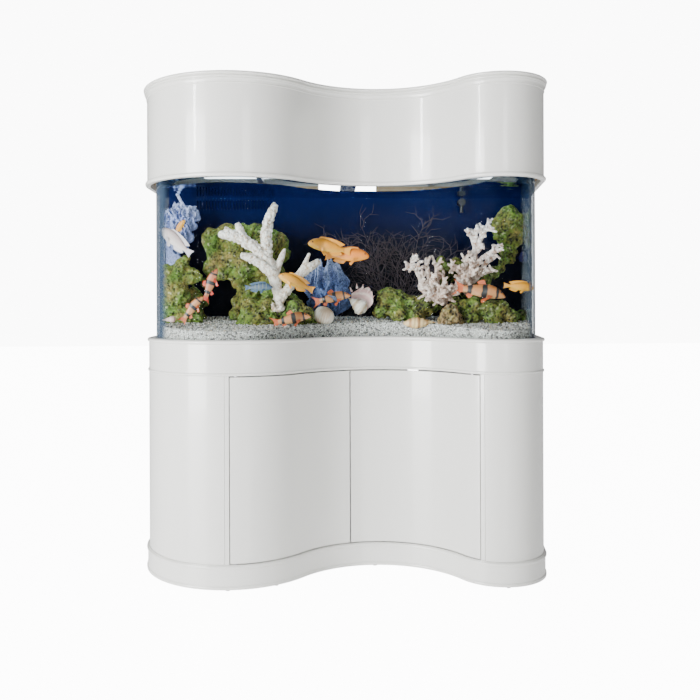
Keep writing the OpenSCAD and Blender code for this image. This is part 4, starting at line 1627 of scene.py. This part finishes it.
# Limbs of the finger coral, as (x, y, z, radius) points in millimetres, with their knobs
ANTLERS = (
    (
        (
            (-272, -30, 960, 20), (-273, -30, 1010, 17), (-283, -30, 1075, 25),
            (-305, -30, 1130, 26),
        ),
        None,
    ),
    (
        (
            (-312, -28, 1150, 22), (-316, -25, 1190, 20), (-316, -25, 1235, 19),
            (-309, -25, 1280, 17), (-298, -25, 1316, 14), (-282, -25, 1348, 8),
        ),
        LARGE_KNOBS,
    ),
    (
        (
            (-318, -32, 1150, 22), (-357, -35, 1190, 20), (-403, -38, 1222, 20),
            (-441, -38, 1236, 18), (-484, -38, 1240, 10),
        ),
        LARGE_KNOBS,
    ),
    (((-400, -36, 1230, 14), (-415, -36, 1262, 11), (-421, -36, 1276, 7)), SMALL_KNOBS),
    (((-440, -38, 1240, 12), (-465, -38, 1257, 7)), SMALL_KNOBS),
    (
        (
            (-290, -40, 1095, 24), (-328, -48, 1126, 20), (-365, -50, 1148, 16),
            (-402, -50, 1160, 9),
        ),
        SMALL_KNOBS,
    ),
    (
        (
            (-284, -28, 1090, 17), (-268, -24, 1130, 14), (-256, -22, 1160, 11),
            (-247, -22, 1182, 6),
        ),
        None,
    ),
    (
        (
            (-270, -34, 985, 18), (-245, -38, 1020, 17), (-215, -40, 1060, 16),
            (-185, -40, 1092, 17),
        ),
        SMALL_KNOBS,
    ),
    (((-185, -40, 1092, 15), (-150, -40, 1116, 14), (-122, -40, 1136, 9)), SMALL_KNOBS),
    (((-187, -40, 1096, 13), (-168, -38, 1132, 10), (-155, -38, 1164, 6)), None),
)


class AQUARIUM_OT_corals(Decor):
    """Builds the branched, bushy and leafy corals"""

    bl_idname = "aquarium.corals"
    bl_label = "Corals"

    def execute(self, context):
        self.start(context)
        self.antlers()
        self.bush()
        self.leaves_left()
        self.leaves_middle()
        return {"FINISHED"}

    def coral(self, bm, name, material, root, reach, node):
        """Fuses a coral and roughens it."""
        obj = to_object(bm, name, finish(material), math.pi)
        fuse(obj, self.settings.coral_voxel)
        weather(obj, lambda p: rough(260, p) * 0.8 * MM + rough(90, p) * 0.8 * MM)
        mark_reach(obj, root, reach)
        return self.settle(obj, "pale_coral", node)

    def antlers(self):
        bm = Pile()
        chance = self.chance
        for points, knobs in ANTLERS:
            chain(bm, points, knobs, chance)
        for _ in range(26):
            out = Vector((chance.uniform(-1, 1), chance.uniform(-1, 0.4), chance.uniform(-1, 0.6)))
            place = at(-272, -40, 975) + out.normalized() * 26 * MM
            add_ball(bm, place, chance.uniform(7, 11) * MM, 1)
        root = at(-275, -30, 960)
        self.coral(bm.done(), "Finger_coral", "finger_coral", root, 0.36, "antler_coral")

    def bush(self):
        bm = Pile()
        chance = self.chance
        stems = (
            ((300, 0, 1000), (250, -8, 1110), 12), ((300, -5, 1000), (232, -15, 1140), 9),
            ((320, 0, 1000), (290, -5, 1120), 12), ((335, 0, 1000), (330, 0, 1115), 12),
            ((345, -15, 985), (300, -45, 1050), 12), ((350, -20, 980), (345, -55, 1040), 12),
            ((360, -10, 985), (385, -35, 1030), 12), ((330, -20, 985), (262, -40, 1035), 11),
            ((350, -20, 980), (330, -50, 1000), 12), ((450, 5, 1060), (400, -10, 1110), 11),
            ((455, 5, 1065), (440, 0, 1145), 12), ((470, 5, 1065), (480, -10, 1120), 13),
            ((480, 8, 1070), (530, -5, 1150), 12), ((480, 5, 1070), (455, -30, 1090), 12),
            ((480, 5, 1080), (515, -20, 1095), 11), ((478, 10, 1130), (478, 5, 1235), 12),
            ((480, 10, 1180), (518, 5, 1262), 12), ((478, 10, 1190), (460, 5, 1245), 8),
            ((505, 10, 1150), (548, 0, 1180), 10), ((440, 0, 1060), (425, -25, 1060), 11),
            ((395, 10, 1020), (420, -20, 1060), 12), ((300, 5, 1000), (420, 10, 1040), 15),
        )
        for start, stop, radius in stems:
            start, stop = at(*start), at(*stop)
            self.twig(bm, start, stop, radius * MM, 2)
        root = at(400, 20, 1000)
        self.coral(bm.done(), "Bushy_coral", "bushy_coral", root, 0.30, "right_coral")

    def twig(self, bm, start, stop, radius, forks):
        """A stubby limb that forks, and ends in rounded tips."""
        chance = self.chance
        aim = stop - start
        steps = max(2, round(aim.length / (radius * 0.6)))
        for i in range(steps + 1):
            add_ball(bm, start.lerp(stop, i / steps), radius * (1 - 0.25 * i / steps), 2)
        if forks == 0:
            return
        forward = aim.normalized()
        for share in [0.35, 0.6, 0.8, 1.0, 1.0, 1.0] if forks > 1 else [0.5, 1.0, 1.0]:
            off = Vector([chance.uniform(-1, 1) for _ in range(3)])
            off.y = -abs(off.y) * 0.8
            way = (forward * 0.7 + off).normalized()
            size = radius * (0.66 if forks > 1 else 0.72)
            root = start.lerp(stop, share)
            self.twig(bm, root, root + way * radius * chance.uniform(1.9, 2.7), size, forks - 1)

    def leaves(self, name, clusters, material, root, reach, node):
        bm = bmesh.new()
        chance = self.chance
        for (x, y, z), count, height, width, tilt in clusters:
            for k in range(count):
                turn = math.tau * k / count + chance.uniform(-0.5, 0.5)
                lean = Vector((math.cos(turn) * tilt, -abs(math.sin(turn)) * tilt * 0.8, 1.0))
                face = Vector((math.cos(turn), -0.7 + 0.3 * math.sin(turn), 0.2))
                add_petal(
                    bm, at(x, y, z), lean, face,
                    height * chance.uniform(0.75, 1.1) * MM,
                    width * chance.uniform(0.7, 1.1) * MM,
                    chance.uniform(0.4, 0.9), chance.uniform(0, 6),
                )
        bmesh.ops.solidify(bm, geom=bm.faces[:], thickness=4.5 * MM)
        obj = to_object(bm, name, finish(material), math.pi)
        fuse(obj, self.settings.coral_voxel * 0.85)
        weather(obj, lambda p: rough(200, p) * 1.0 * MM)
        mark_reach(obj, root, reach)
        return self.settle(obj, "blue_coral", node)

    def leaves_left(self):
        clusters = (
            ((-672, 112, 1175), 7, 62, 30, 0.8), ((-650, 112, 1215), 7, 62, 30, 0.9),
            ((-690, 112, 1235), 7, 66, 32, 0.7), ((-640, 108, 1260), 8, 66, 30, 1.0),
            ((-680, 110, 1285), 8, 64, 30, 0.7), ((-636, 108, 1300), 8, 66, 30, 0.9),
            ((-662, 110, 1320), 6, 54, 26, 0.6), ((-705, 110, 1290), 6, 60, 28, 0.4),
        )
        root = at(-670, 130, 1230)
        self.leaves("Lavender_coral", clusters, "lavender_coral", root, 0.19, "left_coral")

    def leaves_middle(self):
        clusters = (
            ((-85, 105, 935), 6, 150, 46, 0.35), ((-100, 95, 945), 6, 190, 40, 0.28),
            ((-60, 90, 935), 7, 130, 44, 0.55), ((-90, 80, 940), 6, 110, 46, 0.7),
            ((-75, 100, 960), 5, 175, 34, 0.2),
        )
        root = at(-80, 110, 930)
        self.leaves("Blue_coral", clusters, "blue_leaf_coral", root, 0.25, "middle_coral")


class AQUARIUM_OT_sea_fan(Decor):
    """Grows the sea fan's fine twigs"""

    bl_idname = "aquarium.sea_fan"
    bl_label = "Sea Fan"

    def execute(self, context):
        self.start(context)
        curve = bpy.data.curves.new("Twigs", "CURVE")
        curve.dimensions = "3D"
        curve.bevel_depth = 1 * MM
        curve.bevel_resolution = 1
        curve.use_fill_caps = True
        root = at(185, 176, 915)
        fans = ((128, 330), (112, 400), (97, 430), (84, 420), (70, 430), (56, 380), (143, 240), (42, 280))
        for turn, reach in fans:
            foot = root + at(self.chance.uniform(-5, 5), 0, 0)
            self.grow(curve, foot, math.radians(turn), reach * MM, 2.6, 3)
        holder = bpy.data.objects.new("Twigs", curve)
        context.scene.collection.objects.link(holder)
        graph = context.evaluated_depsgraph_get()
        graph.update()
        mesh = bpy.data.meshes.new_from_object(holder.evaluated_get(graph), depsgraph=graph)
        mesh.name = "Sea_fan"
        bpy.data.objects.remove(holder)
        mesh.materials.clear()
        obj = shade(mesh, "Sea_fan", finish("sea_fan"), math.pi)
        self.settle(obj, "dark_coral", "sea_fan")
        return {"FINISHED"}

    def grow(self, curve, start, turn, reach, thick, forks):
        chance = self.chance
        step = 13 * MM
        count = max(3, round(reach / step))
        spots, place = [start.copy()], start.copy()
        bend = chance.uniform(-0.035, 0.035)
        way = turn
        for i in range(count):
            way += bend + chance.uniform(-0.16, 0.16)
            place = place + Vector((math.cos(way), chance.uniform(-0.10, 0.10), math.sin(way))) * step
            spots.append(place.copy())
            if forks and i > (3 if forks == 3 else 0) and i % 2 == chance.choice((0, 1, 0)):
                side = chance.choice((-1, 1))
                left = (count - i) * step
                self.grow(
                    curve, place, way + side * chance.uniform(0.5, 0.95),
                    left * chance.uniform(0.35, 0.75), thick * 0.72, forks - 1,
                )
        spline = curve.splines.new("POLY")
        spline.points.add(len(spots) - 1)
        for i, (point, spot) in enumerate(zip(spline.points, spots)):
            point.co = (*spot, 1)
            point.radius = thick * (1 - 0.6 * i / count)
        return spots


class AQUARIUM_OT_shells(Decor):
    """Builds the shells that lie on the gravel"""

    bl_idname = "aquarium.shells"
    bl_label = "Shells"

    def execute(self, context):
        self.start(context)
        bm = bmesh.new()
        made = bmesh.ops.create_uvsphere(bm, u_segments=72, v_segments=36, radius=1)["verts"]
        tilt = Matrix.Rotation(math.radians(28), 3, "Y") @ Matrix.Rotation(math.radians(18), 3, "X")
        for v in made:
            turn = math.atan2(v.co.y, v.co.x)
            ridge = 1 + 0.025 * math.cos(turn * 24 + v.co.z * 5)
            v.co = tilt @ Vector((v.co.x * 39 * ridge, v.co.y * 36 * ridge, v.co.z * 35)) * MM
            v.co += at(-100, -28, 933)
        self.shell(bm, "Round_shell", "cream_shell", at(-100, -28, 933), 0.04, "shells")
        bm = bmesh.new()
        self.spiral(bm, at(60, 20, 948), at(-6, 30, 1000), 30, 5)
        self.shell(bm, "Conch_body", "cream_shell", at(60, 20, 948), 0.09)
        bm = bmesh.new()
        root = at(35, 45, 950)
        add_petal(bm, root, (0.35, 0, 1), (-0.4, -1, 0.3), 95 * MM, 46 * MM, 0.5, 1.4)
        bmesh.ops.solidify(bm, geom=bm.faces[:], thickness=4 * MM)
        spikes = (
            (8, 1034, -0.5, 1), (28, 1046, -0.1, 1), (48, 1044, 0.2, 1),
            (68, 1030, 0.5, 0.9), (82, 1008, 0.9, 0.6),
        )
        for x, z, dx, dz in spikes:
            tip = Vector((dx, 0, dz)).normalized() * 18 * MM
            add_bar(bm, at(x, 40, z - 10), at(x, 40, z - 8) + tip, 5 * MM, 0.8 * MM, 10)
        self.shell(bm, "Conch_lip", "pink_shell", root, 0.11)
        bm = bmesh.new()
        self.spiral(bm, at(196, -62, 905), at(318, -58, 908), 21, 7, 0.45)
        self.shell(bm, "Spindle_shell", "tan_shell", at(196, -62, 905), 0.12)
        bm = bmesh.new()
        self.spiral(bm, at(-640, -100, 926), at(-690, -95, 922), 12, 6, 0.2)
        self.shell(bm, "Small_shell", "pink_shell", at(-640, -100, 926), 0.05)
        return {"FINISHED"}

    def spiral(self, bm, start, stop, radius, whorls, widest=0.3):
        """A tapered shell with whorls, from its mouth to its tip."""
        axis = stop - start
        aim = axis.to_track_quat("Z", "Y")
        steps = 48
        for i, row in enumerate(extrude_rows(bm, 36, steps)):
            for v in row:
                turn = math.atan2(v.co.y, v.co.x)
                t = i / steps
                body = math.sin(math.pi * 0.5 * min(1.0, t / widest + 0.12)) if t < widest else 1 - (
                    (t - widest) / (1 - widest)
                ) ** 1.15
                wind = (t * whorls + turn / math.tau) % 1.0
                size = radius * MM * max(0.03, body) * (0.90 + 0.14 * math.sin(math.pi * wind))
                v.co = start + aim @ Vector((math.cos(turn) * size, math.sin(turn) * size, t * axis.length))
        close_holes(bm)

    def shell(self, bm, name, material, root, reach, *nodes):
        obj = to_object(bm, name, finish(material), math.radians(60))
        mark_reach(obj, root, reach)
        relief = obj.data.attributes.new("relief", "FLOAT", "POINT")
        relief.data.foreach_set("value", [0.6] * len(obj.data.vertices))
        return mount(obj, ROOT, "shell", *nodes)


# Profiles along a body from nose to tail, as shares of its length: place, half height, half
# width and drop
CICHLID = (
    (0.0, 0.012, 0.010, 0.02), (0.03, 0.055, 0.035, 0.015), (0.09, 0.095, 0.055, 0.0),
    (0.18, 0.130, 0.068, -0.008), (0.32, 0.152, 0.070, -0.010), (0.48, 0.140, 0.060, -0.006),
    (0.64, 0.105, 0.044, 0.0), (0.76, 0.066, 0.028, 0.004), (0.83, 0.052, 0.018, 0.004),
    (0.86, 0.056, 0.010, 0.004),
)
LOACH = (
    (0.0, 0.010, 0.010, 0.05), (0.04, 0.042, 0.032, 0.035), (0.10, 0.078, 0.05, 0.015),
    (0.20, 0.115, 0.062, -0.005), (0.34, 0.135, 0.066, -0.012), (0.50, 0.125, 0.056, -0.006),
    (0.64, 0.095, 0.042, 0.0), (0.76, 0.066, 0.028, 0.0), (0.82, 0.062, 0.016, 0.0),
)
# The back, tail and belly fins of each body: a root edge and a rim of (along, up, out) points
FINS = {
    CICHLID: (
        (
            ((0.20, 0.12, 0), (0.45, 0.17, 0), (0.76, 0.055, 0)),
            ((0.26, 0.19, 0), (0.58, 0.235, 0), (0.86, 0.13, 0)),
        ),
        (
            ((0.84, 0.045, 0), (0.85, 0.0, 0), (0.84, -0.05, 0)),
            ((1.03, 0.10, 0), (0.98, 0.0, 0), (1.03, -0.105, 0)),
        ),
        (
            ((0.52, -0.115, 0), (0.62, -0.10, 0), (0.76, -0.055, 0)),
            ((0.60, -0.185, 0), (0.72, -0.185, 0), (0.84, -0.11, 0)),
        ),
    ),
    LOACH: (
        (
            ((0.40, 0.125, 0), (0.46, 0.14, 0), (0.54, 0.115, 0)),
            ((0.45, 0.22, 0), (0.53, 0.21, 0), (0.58, 0.155, 0)),
        ),
        (
            ((0.80, 0.05, 0), (0.80, 0.0, 0), (0.80, -0.05, 0)),
            ((1.02, 0.15, 0), (0.84, 0.0, 0), (1.02, -0.15, 0)),
        ),
        (
            ((0.62, -0.09, 0), (0.66, -0.08, 0), (0.71, -0.07, 0)),
            ((0.68, -0.17, 0), (0.73, -0.16, 0), (0.75, -0.11, 0)),
        ),
    ),
}
# The breast and pelvic fins, which each fish has on both sides
PAIRED_FINS = (
    (
        ((0.25, -0.06, 0.06), (0.26, -0.08, 0.06), (0.28, -0.10, 0.055)),
        ((0.36, -0.06, 0.11), (0.38, -0.11, 0.11), (0.36, -0.15, 0.09)),
    ),
    (
        ((0.34, -0.13, 0.03), (0.37, -0.135, 0.03), (0.40, -0.13, 0.025)),
        ((0.42, -0.22, 0.05), (0.45, -0.22, 0.05), (0.46, -0.17, 0.035)),
    ),
)


def bow(points, u):
    """A place on the curve that three points bend, at a share u of its way."""
    a, b, c = (Vector(p) for p in points)
    return a * (1 - u) ** 2 + b * 2 * u * (1 - u) + c * u * u


class AQUARIUM_OT_fish(Decor):
    """Builds the fish, each with its fins and eyes"""

    bl_idname = "aquarium.fish"
    bl_label = "Fish"

    def execute(self, context):
        self.start(context)
        shoal = (
            ("Yellow_fish_a", CICHLID, (-264, -110, 1086), (-140, -104, 1030), 0.04, "yellow_fish"),
            ("Yellow_fish_b", CICHLID, (-158, -60, 1208), (-2, -52, 1174), 0.05, "yellow_fish"),
            ("Yellow_fish_c", CICHLID, (71, -30, 1160), (-92, -26, 1160), 0.05, "orange_fish"),
            ("Yellow_fish_d", CICHLID, (690, -50, 1036), (580, -44, 1046), 0.05, "yellow_fish"),
            ("Yellow_fish_e", CICHLID, (-628, 26, 1300), (-662, 34, 1250), 0.0, "yellow_fish"),
            ("Blue_fish", CICHLID, (-289, -84, 1042), (-388, -78, 1040), 0.0, "blue_fish"),
            ("Pale_fish", CICHLID, (-706, -40, 1262), (-592, -60, 1166), 0.0, "pale_fish"),
            ("Loach_a", LOACH, (-150, -115, 940), (-292, -110, 908), 0.0, "banded_loach"),
            ("Loach_b", LOACH, (0, -20, 1016), (-142, -14, 984), 0.06, "banded_loach"),
            ("Loach_c", LOACH, (575, -86, 1010), (384, -80, 1040), 0.05, "banded_loach"),
            ("Loach_d", LOACH, (-500, -56, 1112), (-545, -50, 985), 0.0, "red_loach"),
            ("Loach_e", LOACH, (-545, -90, 1010), (-624, -84, 912), 0.0, "banded_loach"),
        )
        for name, profile, nose_at, tail_at, bend, material in shoal:
            self.swim(name, profile, at(*nose_at), at(*tail_at), bend, material)
        return {"FINISHED"}

    def swim(self, name, profile, nose_at, tail_at, bend, material):
        length = (tail_at - nose_at).length
        forward = (nose_at - tail_at).normalized()
        side = Vector((0, -1, 0))
        side = (side - forward * side.dot(forward)).normalized()
        top = forward.cross(side)
        if top.z < 0:
            top = -top

        def place(t, up, out):
            sway = bend * math.sin(math.pi * 1.6 * t) * t
            return nose_at - forward * length * t + top * length * up + side * length * (out + sway)

        bm = bmesh.new()
        along = bm.verts.layers.float.new("along")
        high = bm.verts.layers.float.new("high")
        fin = bm.verts.layers.float.new("fin")
        smooth = []
        for a, b in zip(profile, profile[1:]):
            for k in range(3):
                smooth.append([p + (q - p) * k / 3 for p, q in zip(a, b)])
        smooth.append(list(profile[-1]))
        rows = extrude_rows(bm, 20, len(smooth) - 1)
        for row, (t, half_high, half_wide, drop) in zip(rows, smooth):
            for v in row:
                turn = math.atan2(v.co.y, v.co.x)
                up = half_high * math.sin(turn) - drop
                v[along], v[high], v[fin] = t, 0.5 + 0.5 * math.sin(turn), 0.0
                v.co = place(t, up, half_wide * math.cos(turn))
        close_holes(bm)

        def fin_sheet(root, rim, rows, columns):
            """A thin fin between two edges, both given as three (along, up, out) points."""
            grid = bmesh.ops.create_grid(bm, x_segments=columns, y_segments=rows, size=0.5)["verts"]
            for v in grid:
                u, t = v.co.x + 0.5, v.co.y + 0.5
                p = bow(root, u).lerp(bow(rim, u), t)
                wave = 0.006 * math.sin(u * 20) * t
                v.co = place(p.x, p.y, p.z + wave)
                v[along], v[high], v[fin] = p.x, 0.5, t
            faces = list({f for v in grid for f in v.link_faces})
            bmesh.ops.solidify(bm, geom=faces, thickness=0.004 * length)

        for root, rim in FINS[profile]:
            fin_sheet(root, rim, 5, 8)
        for side_of in (-1, 1):
            for root, rim in PAIRED_FINS:
                root, rim = ([(t, up, out * side_of) for t, up, out in e] for e in (root, rim))
                fin_sheet(root, rim, 4, 5)
        for side_of in (-1, 1):
            for v in add_ball(bm, place(0.10, 0.030, side_of * 0.048), 0.019 * length, 2):
                v[along], v[high], v[fin] = -1.0, 0.5, 0.0
        mount(to_object(bm, name, finish(material), math.radians(70)), ROOT, "pale_coral")


class AQUARIUM_PT_build(bpy.types.Panel):
    """The steps of the build, in order"""

    bl_label = "Aquarium"
    bl_idname = "AQUARIUM_PT_build"
    bl_space_type = "VIEW_3D"
    bl_region_type = "UI"
    bl_category = "Aquarium"

    def draw(self, context):
        column = self.layout.column()
        for step in STEPS:
            column.operator(step.bl_idname)


SETTINGS = {
    "aquarium_plan": PlanSettings,
    "aquarium_finish": FinishSettings,
    "aquarium_tank": TankSettings,
    "aquarium_stage": StageSettings,
}
STEPS = (
    AQUARIUM_OT_stage,
    AQUARIUM_OT_cabinet,
    AQUARIUM_OT_doors,
    AQUARIUM_OT_tank,
    AQUARIUM_OT_canopy,
    AQUARIUM_OT_fittings,
    AQUARIUM_OT_water_surface,
    AQUARIUM_OT_gravel,
    AQUARIUM_OT_rocks,
    AQUARIUM_OT_corals,
    AQUARIUM_OT_sea_fan,
    AQUARIUM_OT_shells,
    AQUARIUM_OT_fish,
)


def register():
    for name, settings in SETTINGS.items():
        bpy.utils.register_class(settings)
        setattr(bpy.types.Scene, name, PointerProperty(type=settings))
    for step in STEPS:
        bpy.utils.register_class(step)
    bpy.utils.register_class(AQUARIUM_PT_build)


def unregister():
    bpy.utils.unregister_class(AQUARIUM_PT_build)
    for step in reversed(STEPS):
        bpy.utils.unregister_class(step)
    for name, settings in SETTINGS.items():
        delattr(bpy.types.Scene, name)
        bpy.utils.unregister_class(settings)


def main():
    register()
    for step in STEPS:
        area, name = step.bl_idname.split(".")
        getattr(getattr(bpy.ops, area), name)()


if __name__ == "__main__":
    main()
